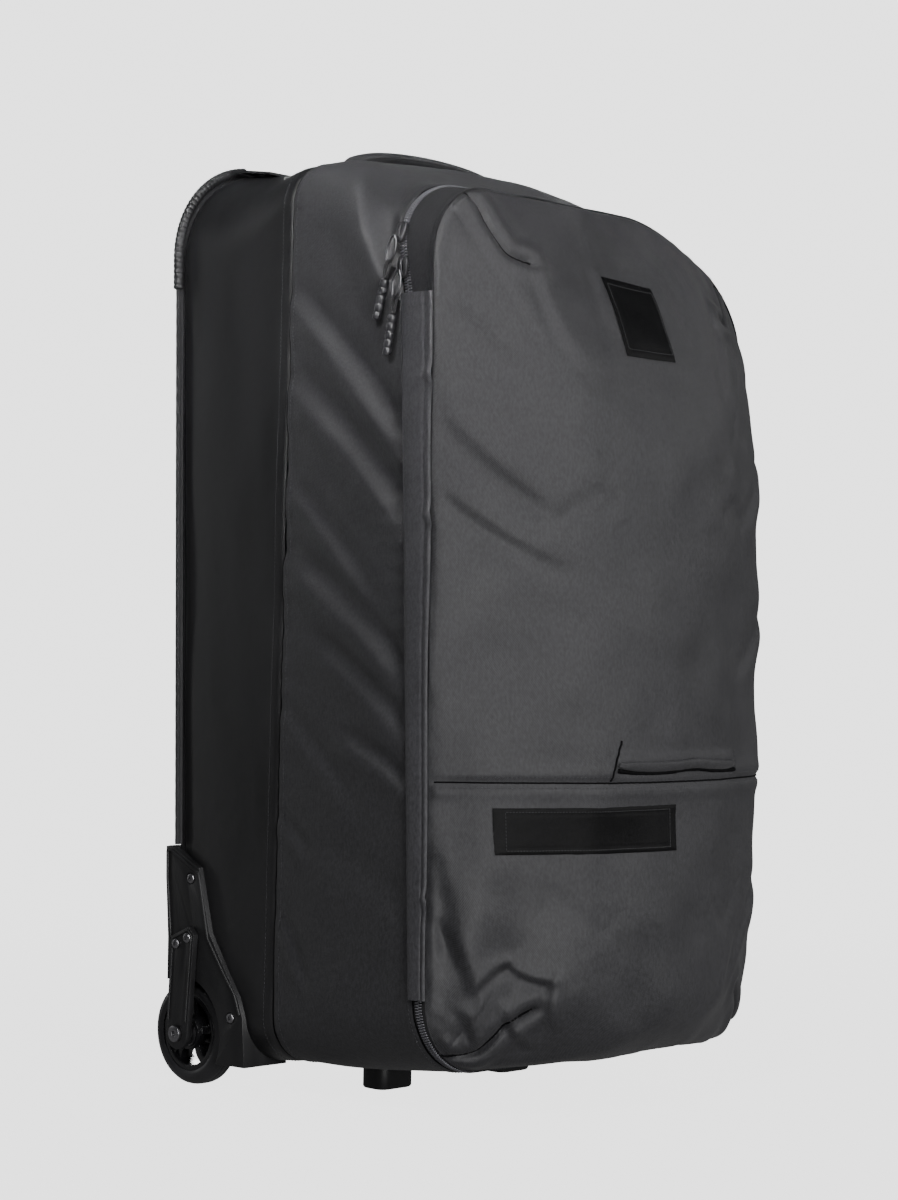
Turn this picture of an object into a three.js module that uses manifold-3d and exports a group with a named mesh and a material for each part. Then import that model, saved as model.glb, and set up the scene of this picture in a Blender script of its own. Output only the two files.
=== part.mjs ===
// Wheeled ski and travel bag: a soft padded body on a moulded rear corner chassis, with a
// zipped front lid, two in-line wheels, a telescopic trolley handle and a padded grab handle.
// Millimetres. X is the width, the lid faces -Y, the trolley side faces +Y, +Z is up.
// The origin is on the floor, under the middle of the outer box. "left" is the -X side.
import * as THREE from "three";
import { mergeVertices } from "three/addons/utils/BufferGeometryUtils.js";
import Module from "manifold-3d";

// ---------- driving dimensions ----------
const HALF_WIDTH = 200; // bag body, centre plane to side
const WALL = 4; // padded fabric wall
const SEAM_GAP = 0.4; // clearance between neighbouring soft panels
const REAR_RADIUS = [30, 86]; // bottom and top corner radius of the back panel
const ZIP_RADIUS = [60, 62]; // bottom and top corner radius of the zip loop
const CROWN_Y = -208.5; // front of the lid dome
const CORNER_STEPS = 6; // facets in each rounded corner
const SIDE_POINT = 645; // height of the extra outline point on each side

const WHEEL_RADIUS = 45;
const WHEEL_WIDTH = 24;
const WHEEL_X = 188; // centre plane of each wheel
const AXLE_Y = 163.5;
const AXLE_RADIUS = 3.92;
const BORE_RADIUS = 4.0; // bearing bore, a running fit on the axle
const WELL_RADIUS = 49; // wheel well in the corner housing
const OUTSIDE = 230; // a distance from the centre plane that is clear of the whole bag

const HOUSING_OUTER = 206; // side face of the corner housing
const HOUSING_INNER = 158;
const HOUSING_WALL = 3;
const ARM_FACES = [206.4, 212]; // inner and outer face of the wheel arm

const TUBE_X = 95; // trolley tube centre
const TUBE_Y = 155;
const OUTER_TUBE = [24, 15, 1.3]; // width, depth, wall
const INNER_TUBE = [20.6, 11.6, 1.2];
const TUBE_BOTTOM = 62;
const CUP_FLOOR = 757; // underside of the handle cup
const BUTTON_TRAVEL = 4;

const FOOT_X = 75;
const FOOT_PAD = [36, 24, 7]; // width, depth, corner radius
const STEM_RADIUS = 6;
const FOOT_Y = 44;
const HANDLE_Y = 95; // padded grab handle on top
const HANDLE_PIVOT = 797;

// ---------- the bag's outer form ----------
// Seam planes, as depth (y) against height (z).
const rearFace = (z) => 168.5 + 0.0239 * z;
const panelFront = (z) => rearFace(z) - WALL;
const bandSeam = (z) => 57 - 0.0137 * z;
const cornerPull = (z) => 10 * THREE.MathUtils.smoothstep(z, 640, 730); // the corner is drawn back
const gussetEdge = (z) => -113.5 + 0.0405 * z + cornerPull(z);
const zipLine = (z) => gussetEdge(z) - 5;
const lidSeam = (z) => -123.5 + 0.009 * z;
const ahead = (plane, distance) => (z) => plane(z) - distance;
// The top falls towards the lid and the underside rises towards it.
const skinTop = (y) => 766 + 0.1526 * y;
const skinFloor = (y) => 32.5 - 0.055 * y;

// Corner radius at a depth: end 0 is the bottom, end 1 the top.
function cornerRadius(y, end) {
  const share = (y - zipLine(400)) / (rearFace(400) - zipLine(400));
  return THREE.MathUtils.lerp(ZIP_RADIUS[end], REAR_RADIUS[end], share);
}

// Points of a rounded rectangle in the XZ plane, as [x, z], from the lower right corner round.
function roundedLoop(halfWidth, bottom, top, bottomRadius, upperRadius, sidePoint = SIDE_POINT) {
  const corners = [
    [1, bottom + bottomRadius, bottomRadius, -90],
    [1, top - upperRadius, upperRadius, 0],
    [-1, top - upperRadius, upperRadius, 90],
    [-1, bottom + bottomRadius, bottomRadius, 180],
  ];
  const points = [];
  for (const [side, z, radius, start] of corners) {
    if (start === 180) points.push([-halfWidth, sidePoint]);
    for (let step = 0; step <= CORNER_STEPS; step++) {
      const angle = THREE.MathUtils.degToRad(start + (90 * step) / CORNER_STEPS);
      const x = side * (halfWidth - radius) + radius * Math.cos(angle);
      points.push([x, z + radius * Math.sin(angle)]);
    }
    if (start === -90) points.push([halfWidth, sidePoint]);
  }
  return points;
}

// The bag's outline where it meets a seam plane, moved inwards by inset.
function skinRing(plane, inset = 0) {
  const count = 4 * (CORNER_STEPS + 1) + 2;
  const ring = [];
  for (let i = 0; i < count; i++) {
    let y = plane(400);
    let point;
    for (let pass = 0; pass < 4; pass++) {
      point = roundedLoop(
        HALF_WIDTH - inset,
        skinFloor(y) + inset,
        skinTop(y) - inset,
        cornerRadius(y, 0) - inset,
        cornerRadius(y, 1) - inset,
      )[i];
      y = plane(point[1]);
    }
    ring.push(new THREE.Vector3(point[0], y, point[1]));
  }
  return ring;
}

// ---------- geometry helpers ----------
function signedVolume(positions, index) {
  const [a, b, c] = [new THREE.Vector3(), new THREE.Vector3(), new THREE.Vector3()];
  let sum = 0;
  for (let i = 0; i < index.length; i += 3) {
    a.fromArray(positions, 3 * index[i]);
    b.fromArray(positions, 3 * index[i + 1]);
    c.fromArray(positions, 3 * index[i + 2]);
    sum += a.dot(b.cross(c));
  }
  return sum;
}

// A closed skin through rings of equal length: a loop of rings, or an open run with flat ends.
function skinOfRings(rings, isLoop) {
  const count = rings[0].length;
  const points = rings.flat();
  const index = [];
  const bands = isLoop ? rings.length : rings.length - 1;
  for (let band = 0; band < bands; band++) {
    const low = band * count;
    const high = ((band + 1) % rings.length) * count;
    for (let i = 0; i < count; i++) {
      const next = (i + 1) % count;
      index.push(low + i, low + next, high + next, low + i, high + next, high + i);
    }
  }
  if (!isLoop) {
    const last = (rings.length - 1) * count;
    for (let i = 1; i < count - 1; i++) {
      index.push(0, i + 1, i, last, last + i, last + i + 1);
    }
  }
  const positions = points.flatMap((p) => [p.x, p.y, p.z]);
  if (signedVolume(positions, index) < 0) index.reverse();
  const geometry = new THREE.BufferGeometry();
  geometry.setAttribute("position", new THREE.Float32BufferAttribute(positions, 3));
  geometry.setIndex(index);
  return geometry;
}

const wasm = await Module();
wasm.setup();

function toSolid(geometry) {
  const bare = geometry.clone();
  bare.deleteAttribute("normal");
  bare.deleteAttribute("uv");
  const merged = mergeVertices(bare, 1e-3);
  const vertProperties = new Float32Array(merged.attributes.position.array);
  const triVerts = new Uint32Array(merged.index.array);
  return new wasm.Manifold(new wasm.Mesh({ numProp: 3, vertProperties, triVerts }));
}

function toGeometry(solid) {
  const mesh = solid.getMesh();
  const geometry = new THREE.BufferGeometry();
  geometry.setAttribute("position", new THREE.BufferAttribute(mesh.vertProperties, 3));
  geometry.setIndex(new THREE.BufferAttribute(mesh.triVerts, 1));
  return geometry;
}

function joined(...geometries) {
  return toGeometry(geometries.map(toSolid).reduce((sum, solid) => sum.add(solid)));
}

function cut(geometry, ...cutters) {
  return toGeometry(cutters.map(toSolid).reduce((rest, c) => rest.subtract(c), toSolid(geometry)));
}

function box(x, y, z) {
  const geometry = new THREE.BoxGeometry(x[1] - x[0], y[1] - y[0], z[1] - z[0]);
  return geometry.translate((x[0] + x[1]) / 2, (y[0] + y[1]) / 2, (z[0] + z[1]) / 2);
}

// A round bar along X between two distances from the centre plane, on one side of the bag.
function barX(side, near, far, radius, y, z, facets = 24) {
  const bar = new THREE.CylinderGeometry(radius, radius, far - near, facets).rotateZ(Math.PI / 2);
  return bar.translate((side * (near + far)) / 2, y, z);
}

function barZ(x, y, bottom, top, radius, facets = 24) {
  const bar = new THREE.CylinderGeometry(radius, radius, top - bottom, facets);
  return bar.rotateX(Math.PI / 2).translate(x, y, (bottom + top) / 2);
}

// A shape drawn as (y, z), pushed along X between two distances from the centre plane.
const shapeToSide = new THREE.Matrix4().makeBasis(
  new THREE.Vector3(0, 1, 0),
  new THREE.Vector3(0, 0, 1),
  new THREE.Vector3(1, 0, 0),
);
function plateX(shape, side, near, far, curveSegments = 8) {
  const options = { depth: far - near, bevelEnabled: false, curveSegments };
  const plate = new THREE.ExtrudeGeometry(shape, options).applyMatrix4(shapeToSide);
  return plate.translate(side < 0 ? -far : near, 0, 0);
}

function roundedShape(width, depth, radius) {
  const [w, d] = [width / 2 - radius, depth / 2 - radius];
  const shape = new THREE.Shape();
  shape.absarc(w, -d, radius, -Math.PI / 2, 0);
  shape.absarc(w, d, radius, 0, Math.PI / 2);
  shape.absarc(-w, d, radius, Math.PI / 2, Math.PI);
  shape.absarc(-w, -d, radius, Math.PI, 1.5 * Math.PI);
  return shape;
}

// An upright bar with a rounded rectangular section; wall > 0 makes it a tube.
function column(x, y, bottom, top, [width, depth, wall = 0], radius) {
  const shape = roundedShape(width, depth, radius);
  if (wall > 0) {
    const bore = roundedShape(width - 2 * wall, depth - 2 * wall, radius - wall / 2);
    shape.holes.push(new THREE.Path(bore.getPoints(2)));
  }
  const options = { depth: top - bottom, bevelEnabled: false, curveSegments: 2 };
  return new THREE.ExtrudeGeometry(shape, options).translate(x, y, bottom);
}

// Moves every edge of a counterclockwise outline inwards by distance.
function insetOutline(points, distance) {
  return points.map((point, i) => {
    const before = points[(i + points.length - 1) % points.length];
    const after = points[(i + 1) % points.length];
    const incoming = new THREE.Vector2(...point).sub(new THREE.Vector2(...before)).normalize();
    const outgoing = new THREE.Vector2(...after).sub(new THREE.Vector2(...point)).normalize();
    const bisector = new THREE.Vector2(-incoming.y - outgoing.y, incoming.x + outgoing.x);
    const reach = distance / (0.5 * bisector.lengthSq());
    return [point[0] + bisector.x * reach, point[1] + bisector.y * reach];
  });
}

const shapeOf = (points) => new THREE.Shape(points.map((p) => new THREE.Vector2(...p)));

// ---------- materials ----------
const looks = {
  coated_fabric: [0x242427, 0.45, 0],
  woven_fabric: [0x38383b, 0.8, 0],
  trim_webbing: [0x2b2b2e, 0.75, 0],
  lining_fabric: [0x4a4a4e, 0.8, 0],
  black_plastic: [0x1d1d1f, 0.5, 0],
  zip_metal: [0x3a3a3d, 0.35, 1],
  cord_sleeve: [0x5a5a5e, 0.25, 0],
  wheel_plastic: [0x101012, 0.3, 0],
  tyre_urethane: [0x222224, 0.45, 0],
  steel: [0x8a8a8e, 0.3, 1],
  aluminium_tube: [0x6c6d70, 0.35, 1],
  board_plastic: [0x303033, 0.6, 0],
};

const bag = new THREE.Group();
function add(name, look, geometry, parent = bag) {
  const [color, roughness, metalness] = looks[look];
  const material = new THREE.MeshStandardMaterial({ color, roughness, metalness });
  const mesh = new THREE.Mesh(geometry, material);
  mesh.name = name;
  parent.add(mesh);
  return mesh;
}

const SIDES = [
  ["left", -1],
  ["right", 1],
];

// ---------- moulded corner housing ----------
// Side view outline, as [y, z], counterclockwise from the lower rear corner.
const housingOutline = [
  [184, 40],
  [184, 126],
  [188, 180],
  [188, 204],
  [183, 205],
  [145, 188],
  [130, 133],
  [107, 101],
  [92.5, 82],
  [86, 65],
  [82.5, 24],
  [150, 23],
];

// A round bar on the wheel's axis.
function wheelBar(side, near, far, radius, facets = 24) {
  return barX(side, near, far, radius, AXLE_Y, WHEEL_RADIUS, facets);
}

// The space one housing takes out of the soft panels.
function housingEnvelope(side) {
  const outline = shapeOf(insetOutline(housingOutline, -SEAM_GAP));
  const block = plateX(outline, side, HOUSING_INNER - SEAM_GAP, HOUSING_OUTER + 20);
  return joined(block, wheelBar(side, HOUSING_INNER - SEAM_GAP, OUTSIDE, WELL_RADIUS, 48));
}

const armScrews = [
  [165.5, 122],
  [151, 128],
];
const housingScrews = [
  [155.5, 178],
  [101.5, 64],
];
const SCREW_RADIUS = 2;
const SCREW_HOLE = 2.1;
const SCREW_REACH = 9; // shank length
const SCREW_HEAD = [4.2, 2.2]; // radius, height
const COUNTERBORE = [5, 1.4]; // radius, depth below the housing's side face
const AXLE_HOLE = BORE_RADIUS + 0.2;

function housing(side) {
  const inner = HOUSING_INNER;
  const wellFloor = WHEEL_X - WHEEL_WIDTH / 2 - 4;
  const block = plateX(shapeOf(housingOutline), side, inner, HOUSING_OUTER);
  const hollowShape = shapeOf(insetOutline(housingOutline, HOUSING_WALL));
  const hollow = plateX(hollowShape, side, inner - 1, HOUSING_OUTER - HOUSING_WALL);
  const wellRim = WELL_RADIUS + HOUSING_WALL;
  const wellWall = wheelBar(side, wellFloor - HOUSING_WALL, OUTSIDE, wellRim, 48);
  const screwPosts = [...armScrews, ...housingScrews].map(([y, z]) =>
    barX(side, HOUSING_OUTER - 12, HOUSING_OUTER - 1, 5, y, z, 16),
  );
  const boss = wheelBar(side, wellFloor - 1, wellFloor + 3.6, 9);
  const holes = [...armScrews, ...housingScrews].map(([y, z]) =>
    barX(side, HOUSING_OUTER - SCREW_REACH - 1.5, OUTSIDE, SCREW_HOLE, y, z, 12),
  );
  const [boreRadius, boreDepth] = COUNTERBORE;
  const counterbores = housingScrews.map(([y, z]) =>
    barX(side, HOUSING_OUTER - boreDepth, OUTSIDE, boreRadius, y, z, 20),
  );
  const shell = cut(block, cut(hollow, wellWall, ...screwPosts));
  const well = wheelBar(side, wellFloor, OUTSIDE, WELL_RADIUS, 48);
  const axleHole = wheelBar(side, inner - 5, OUTSIDE, AXLE_HOLE);
  return cut(joined(cut(shell, well), boss), axleHole, ...holes, ...counterbores);
}

// Screw with a domed pan head; its seat is the distance of the head's underside from the centre.
function screw(side, y, z, seat) {
  const [headRadius, headHeight] = SCREW_HEAD;
  const profile = [
    new THREE.Vector2(0, -SCREW_REACH),
    new THREE.Vector2(SCREW_RADIUS, -SCREW_REACH),
    new THREE.Vector2(SCREW_RADIUS, 0),
    new THREE.Vector2(headRadius, 0),
    new THREE.Vector2(headRadius, 0.5 * headHeight),
    new THREE.Vector2(0.6 * headRadius, headHeight),
    new THREE.Vector2(0, headHeight),
  ];
  const turned = new THREE.LatheGeometry(profile, 12).rotateZ((-side * Math.PI) / 2);
  return turned.translate(side * seat, y, z);
}

for (const [name, side] of SIDES) {
  add(`wheel_housing_${name}`, "black_plastic", housing(side));
  housingScrews.forEach(([y, z], i) =>
    add(`housing_screw_${name}_${i + 1}`, "steel", screw(side, y, z, HOUSING_OUTER - 1)),
  );
}

// ---------- wheel arm, axle and wheel ----------
function armShape() {
  const shape = new THREE.Shape();
  shape.moveTo(177, WHEEL_RADIUS);
  shape.lineTo(172.5, 128);
  shape.lineTo(150, 137.5);
  shape.lineTo(143.5, 131);
  shape.lineTo(150, WHEEL_RADIUS);
  shape.absarc(AXLE_Y, WHEEL_RADIUS, 13.5, Math.PI, 2 * Math.PI);
  return shape;
}

function arm(side) {
  const [inner, outer] = ARM_FACES;
  const wheelFace = WHEEL_X + WHEEL_WIDTH / 2;
  const plate = plateX(armShape(), side, inner, outer, 12);
  const boss = wheelBar(side, wheelFace + 0.5, inner + 1, 8);
  const axleHole = wheelBar(side, WHEEL_X, OUTSIDE, AXLE_HOLE);
  const holes = armScrews.map(([y, z]) => barX(side, inner - 5, OUTSIDE, SCREW_HOLE, y, z, 12));
  return cut(joined(plate, boss), axleHole, ...holes);
}

function axleBolt(side) {
  const face = ARM_FACES[1];
  const head = wheelBar(side, face + 0.3, face + 3.5, 7);
  const shank = wheelBar(side, 161, face + 1, AXLE_RADIUS);
  const socket = wheelBar(side, face + 1.6, OUTSIDE, 2.6, 6);
  return cut(joined(head, shank), socket);
}

function axleNut(side) {
  const hex = wheelBar(side, 162, 168.6, 7.2, 6);
  return cut(hex, wheelBar(side, 150, 180, AXLE_RADIUS + 0.1));
}

const RIM_RADIUS = 33;
const RIM_INSIDE = 28.5;
const BEARING_RADIUS = 11;
const BEARING_WIDTH = 7;

// Turned ring about the X axis, from a closed profile of [radius, x].
function turned(profile, facets) {
  const points = [...profile, profile[0]].map((p) => new THREE.Vector2(...p));
  return new THREE.LatheGeometry(points, facets).rotateZ(-Math.PI / 2);
}

function ringProfile(inner, outer, near, far) {
  return [
    [inner, near],
    [outer, near],
    [outer, far],
    [inner, far],
  ];
}

function tyre() {
  const half = WHEEL_WIDTH / 2;
  const profile = [
    [RIM_RADIUS + 0.06, -half + 1.5],
    [WHEEL_RADIUS - 8, -half],
    [WHEEL_RADIUS - 3, -half + 3],
    [WHEEL_RADIUS, -3.5],
    [WHEEL_RADIUS, 3.5],
    [WHEEL_RADIUS - 3, half - 3],
    [WHEEL_RADIUS - 8, half],
    [RIM_RADIUS + 0.06, half - 1.5],
  ];
  return turned(profile, 48);
}

function spoke(turn) {
  const shape = new THREE.Shape();
  shape.moveTo(-3, 10);
  shape.quadraticCurveTo(-9, 20, -4, 30);
  shape.lineTo(3, 30);
  shape.quadraticCurveTo(-2, 20, 4, 10);
  return plateX(shape, 1, 0, 13, 5).translate(-6.5, 0, 0).rotateX(turn);
}

function hub() {
  const half = WHEEL_WIDTH / 2 - 2;
  const rim = turned(ringProfile(RIM_INSIDE, RIM_RADIUS, -half, half), 48);
  const core = new THREE.CylinderGeometry(14.5, 14.5, WHEEL_WIDTH, 24).rotateZ(Math.PI / 2);
  const spokes = [0, 1, 2, 3, 4].map((i) => spoke((i * 2 * Math.PI) / 5));
  const seatDepth = BEARING_WIDTH + 0.1;
  const seats = [-1, 1].map((end) =>
    new THREE.CylinderGeometry(BEARING_RADIUS + 0.06, BEARING_RADIUS + 0.06, 20, 24)
      .rotateZ(Math.PI / 2)
      .translate(end * (WHEEL_WIDTH / 2 - seatDepth + 10), 0, 0),
  );
  const bore = new THREE.CylinderGeometry(5, 5, 40, 24).rotateZ(Math.PI / 2);
  return cut(joined(rim, core, ...spokes), bore, ...seats);
}

function bearing(end) {
  const near = WHEEL_WIDTH / 2 - BEARING_WIDTH;
  const far = WHEEL_WIDTH / 2;
  const ring = turned(ringProfile(BORE_RADIUS, BEARING_RADIUS, near, far), 24);
  return end < 0 ? ring.rotateY(Math.PI) : ring;
}

for (const [name, side] of SIDES) {
  add(`wheel_arm_${name}`, "black_plastic", arm(side));
  armScrews.forEach(([y, z], i) =>
    add(`arm_screw_${name}_${i + 1}`, "steel", screw(side, y, z, ARM_FACES[1] + 0.3)),
  );
  add(`axle_bolt_${name}`, "steel", axleBolt(side));
  add(`axle_nut_${name}`, "steel", axleNut(side));
  const wheel = new THREE.Group();
  wheel.position.set(side * WHEEL_X, AXLE_Y, WHEEL_RADIUS);
  bag.add(wheel);
  add(`tyre_${name}`, "tyre_urethane", tyre(), wheel);
  add(`wheel_hub_${name}`, "wheel_plastic", hub(), wheel);
  add(`outer_bearing_${name}`, "steel", bearing(side), wheel);
  add(`inner_bearing_${name}`, "steel", bearing(-side), wheel);
}

// ---------- soft body ----------
// A band of padded fabric between two seam planes.
function band(rear, front, wall = WALL, inset = 0) {
  const rings = [
    skinRing(rear, inset),
    skinRing(front, inset),
    skinRing(front, inset + wall),
    skinRing(rear, inset + wall),
  ];
  return skinOfRings(rings, true);
}

const housings = SIDES.map(([, side]) => housingEnvelope(side));
const footStems = SIDES.map(([, side]) => barZ(side * FOOT_X, FOOT_Y, 0, 60, STEM_RADIUS + SEAM_GAP, 16));
const cupCutter = box([-141, 141], [140, 172], [CUP_FLOOR - 1, 830]);

const coatedBand = band(ahead(panelFront, SEAM_GAP), ahead(bandSeam, -SEAM_GAP / 2));
add("coated_side_band", "coated_fabric", cut(coatedBand, cupCutter, ...housings));

const backPanel = skinOfRings([skinRing(rearFace), skinRing(panelFront)], false);
add("back_panel", "coated_fabric", cut(backPanel, ...housings));

const frontGusset = band(ahead(bandSeam, SEAM_GAP / 2), gussetEdge);
add("front_gusset", "woven_fabric", cut(frontGusset, ...footStems));

const TAPE = 2;
const bodyTape = band(ahead(gussetEdge, SEAM_GAP), ahead(zipLine, -SEAM_GAP / 2), TAPE);
add("zipper_tape_body", "trim_webbing", bodyTape);
const lidTape = band(ahead(zipLine, SEAM_GAP / 2), ahead(lidSeam, -SEAM_GAP), TAPE);
add("zipper_tape_lid", "trim_webbing", lidTape);

// Flap sewn along the gusset edge, lying over the closed zip on the left side.
const FLAP_ENDS = [100, 660];
function stormFlap() {
  const [bottom, top] = FLAP_ENDS;
  const outline = [
    [gussetEdge(bottom), bottom],
    [gussetEdge(top), top],
    [lidSeam(top), top],
    [lidSeam(bottom), bottom],
  ];
  return plateX(shapeOf(outline), -1, HALF_WIDTH + 0.4, HALF_WIDTH + 2.6);
}
add("storm_flap", "woven_fabric", stormFlap());

// Puffed lid: nested loops that shrink towards the crown.
function lidLoop(share, inset) {
  const halfWidth = HALF_WIDTH - 150 * share ** 1.3 - inset;
  const seamTop = skinTop(lidSeam(750));
  const seamFloor = skinFloor(lidSeam(40));
  const top = seamTop - 248 * (1 - Math.sqrt(1 - share)) - inset;
  const bottom = seamFloor + 66 * (1 - Math.sqrt(1 - share ** 2.4)) + inset;
  const upperRadius = Math.min(ZIP_RADIUS[1] + 20 * share, halfWidth - 1) - inset;
  const lowerRadius = Math.min(ZIP_RADIUS[0] + 10 * share, halfWidth - 1) - inset;
  const sidePoint = Math.min(SIDE_POINT, (top + bottom) / 2);
  return roundedLoop(halfWidth, bottom, top, lowerRadius, upperRadius, sidePoint).map(([x, z]) => {
    const y = THREE.MathUtils.lerp(lidSeam(z), CROWN_Y, share) + inset * Math.sign(share);
    return new THREE.Vector3(x, y, z);
  });
}

function lidShell() {
  const shares = [1, 0.96, 0.85, 0.68, 0.48, 0.27, 0.1, 0];
  const outside = shares.map((share) => lidLoop(share, 0));
  const inside = shares.map((share) => lidLoop(share, WALL)).reverse();
  return skinOfRings([...outside, ...inside], false);
}
add("lid_shell", "woven_fabric", lidShell());

// ---------- piping and corner guards on the back edge ----------
const PIPING_OFFSET = 3.2; // from the body's corner, sideways and backwards
const PIPING_RADIUS = 2.6;
const GUARD_RADIUS = 4.2;

function pipingPoint(x, z) {
  return new THREE.Vector3(x, rearFace(z) + PIPING_OFFSET, z);
}

// The rear edge's path from a height on the left, over the top, to the same height on the right.
function rearArch(fromAngle, toAngle, side) {
  const top = skinTop(rearFace(780)) + PIPING_OFFSET;
  const radius = REAR_RADIUS[1];
  const centre = [HALF_WIDTH + PIPING_OFFSET - radius, top - radius];
  const points = [];
  const steps = 12;
  for (let i = 0; i <= steps; i++) {
    const angle = THREE.MathUtils.degToRad(fromAngle + ((toAngle - fromAngle) * i) / steps);
    const x = centre[0] + radius * Math.cos(angle);
    points.push(pipingPoint(side * x, centre[1] + radius * Math.sin(angle)));
  }
  return points;
}

function cordAlong(points, radius, steps) {
  const section = new THREE.Shape().absarc(0, 0, radius, 0, 2 * Math.PI);
  const extrudePath = new THREE.CatmullRomCurve3(points, false, "centripetal");
  const options = { steps, bevelEnabled: false, extrudePath, curveSegments: 4 };
  return new THREE.ExtrudeGeometry(section, options);
}

function piping(radius) {
  const left = rearArch(0, 90, -1);
  const right = rearArch(90, 0, 1);
  const x = HALF_WIDTH + PIPING_OFFSET;
  const low = [210, 350, 500, 640];
  const rise = low.map((z) => pipingPoint(-x, z));
  const fall = low.map((z) => pipingPoint(x, z)).reverse();
  return cordAlong([...rise, ...left, ...right, ...fall], radius, 44);
}
add("back_piping", "trim_webbing", piping(PIPING_RADIUS));
const guardBore = piping(PIPING_RADIUS + SEAM_GAP);

for (const [name, side] of SIDES) {
  const z = skinTop(rearFace(780)) + PIPING_OFFSET - REAR_RADIUS[1];
  const start = pipingPoint(side * (HALF_WIDTH + PIPING_OFFSET), z - 25);
  const arc = rearArch(0, 84, side);
  const guard = cordAlong([start, ...arc], GUARD_RADIUS, 16);
  add(`corner_guard_${name}`, "black_plastic", cut(guard, guardBore));
}

// ---------- stiffening inside ----------
// An upright sheet between two depths, following the bag's outline inset from the skin.
function sheet(front, rear, inset) {
  const rings = [skinRing(() => rear, inset), skinRing(() => front, inset)];
  return cut(skinOfRings(rings, false), ...housings);
}
add("back_board", "board_plastic", sheet(136.8, 139.3, 34));
add("inner_liner", "lining_fabric", sheet(133.5, 136.3, WALL + 2));

function basePlate() {
  const rings = [4.4, 7.4].map((lift) =>
    [[-136, 130], [-136, -70], [136, -70], [136, 130]].map(
      ([x, y]) => new THREE.Vector3(x, y, skinFloor(y) + lift),
    ),
  );
  return cut(skinOfRings(rings, false), ...footStems);
}
add("base_plate", "board_plastic", basePlate());

function skidFoot(side) {
  const shape = roundedShape(...FOOT_PAD);
  const bevel = { bevelSize: 2.5, bevelThickness: 2, bevelSegments: 2 };
  const options = { depth: skinFloor(FOOT_Y) - 4, curveSegments: 2, ...bevel };
  const pad = new THREE.ExtrudeGeometry(shape, options).translate(0, 0, 2);
  const stem = barZ(0, 0, 20, skinFloor(FOOT_Y) + 11, STEM_RADIUS, 16);
  const trim = box([-60, 60], [-60, 60], [skinFloor(FOOT_Y) - 1.3, 60]);
  return joined(cut(pad, trim), stem).translate(side * FOOT_X, FOOT_Y, 0);
}
for (const [name, side] of SIDES) add(`skid_foot_${name}`, "black_plastic", skidFoot(side));

// ---------- trolley handle ----------
const INNER_TUBE_BOTTOM = 70;
const PIN_HEIGHT = 84;
const GRIP_BOTTOM = 764;
const GRIP_TOP = 787;
const CUP_Y = 156; // middle of the handle cup, in depth

// A bar or tube standing on one of the two trolley tube centres.
function onTube(side, bottom, top, section, radius) {
  return column(side * TUBE_X, TUBE_Y, bottom, top, section, radius);
}

function handleCup() {
  const cup = box([-140, 140], [141, 171], [CUP_FLOOR, 789]);
  const lip = skinOfRings(
    [0.4, 2.6].map((lift) =>
      [[-150, 180], [-150, 132], [150, 132], [150, 180]].map(
        ([x, y]) => new THREE.Vector3(x, y, skinTop(y) + lift),
      ),
    ),
    false,
  );
  const pocket = column(0, CUP_Y, CUP_FLOOR + 3, 830, [270, 26], 8);
  const tubeHoles = SIDES.map(([, side]) => onTube(side, 740, 800, [21.6, 12.6], 3));
  return cut(joined(cup, lip), pocket, ...tubeHoles);
}
add("handle_cup", "black_plastic", handleCup());

for (const [name, side] of SIDES) {
  const outerTube = onTube(side, TUBE_BOTTOM, CUP_FLOOR - SEAM_GAP, OUTER_TUBE, 4);
  add(`outer_tube_${name}`, "aluminium_tube", outerTube);
  const tube = onTube(side, INNER_TUBE_BOTTOM, GRIP_BOTTOM + 2.4, INNER_TUBE, 3);
  const pinHole = barX(side, TUBE_X, TUBE_X + 20, 2.8, TUBE_Y, PIN_HEIGHT, 12);
  add(`inner_tube_${name}`, "aluminium_tube", cut(tube, pinHole));
  add(`lock_pin_${name}`, "steel", barX(side, TUBE_X + 3.5, TUBE_X + 10.2, 2.5, TUBE_Y, PIN_HEIGHT, 12));
}

function tubeFoot() {
  const block = column(0, TUBE_Y, 42, 74, [232, 19.4], 5);
  const sockets = SIDES.map(([, side]) => onTube(side, TUBE_BOTTOM - SEAM_GAP, 90, [24.8, 15.8], 4));
  return cut(block, ...sockets);
}
add("tube_foot_block", "black_plastic", tubeFoot());

const YOKE_Z = [771, 776];
function grip() {
  const bar = column(0, CUP_Y, GRIP_BOTTOM, GRIP_TOP, [256, 22], 9);
  const sockets = SIDES.map(([, side]) => onTube(side, 740, GRIP_BOTTOM + 2.8, [21.4, 12.4], 3));
  const roomHeight = [YOKE_Z[0] - BUTTON_TRAVEL - 0.5, YOKE_Z[1] + 0.5];
  const yokeRoom = box([-103, 103], [TUBE_Y - 5, TUBE_Y + 5], roomHeight);
  const buttonWell = column(0, CUP_Y, YOKE_Z[0], 800, [41, 13], 5);
  return cut(bar, yokeRoom, buttonWell, ...sockets);
}
add("trolley_grip", "black_plastic", grip());

function releaseButton() {
  const cap = column(0, CUP_Y, YOKE_Z[1] - 1, GRIP_TOP + 4.2, [40, 12], 5);
  const yoke = box([-101, 101], [TUBE_Y - 4, TUBE_Y + 4], YOKE_Z);
  return joined(cap, yoke);
}
add("release_button", "black_plastic", releaseButton());
for (const [name, side] of SIDES) {
  const rod = barZ(side * TUBE_X, TUBE_Y, PIN_HEIGHT + 8, YOKE_Z[0] - 0.3, 2, 10);
  add(`push_rod_${name}`, "steel", rod);
}

// ---------- padded grab handle ----------
const HANDLE_REACH = 88; // centre plane to each end
const HANDLE_RISE = 15;

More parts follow.
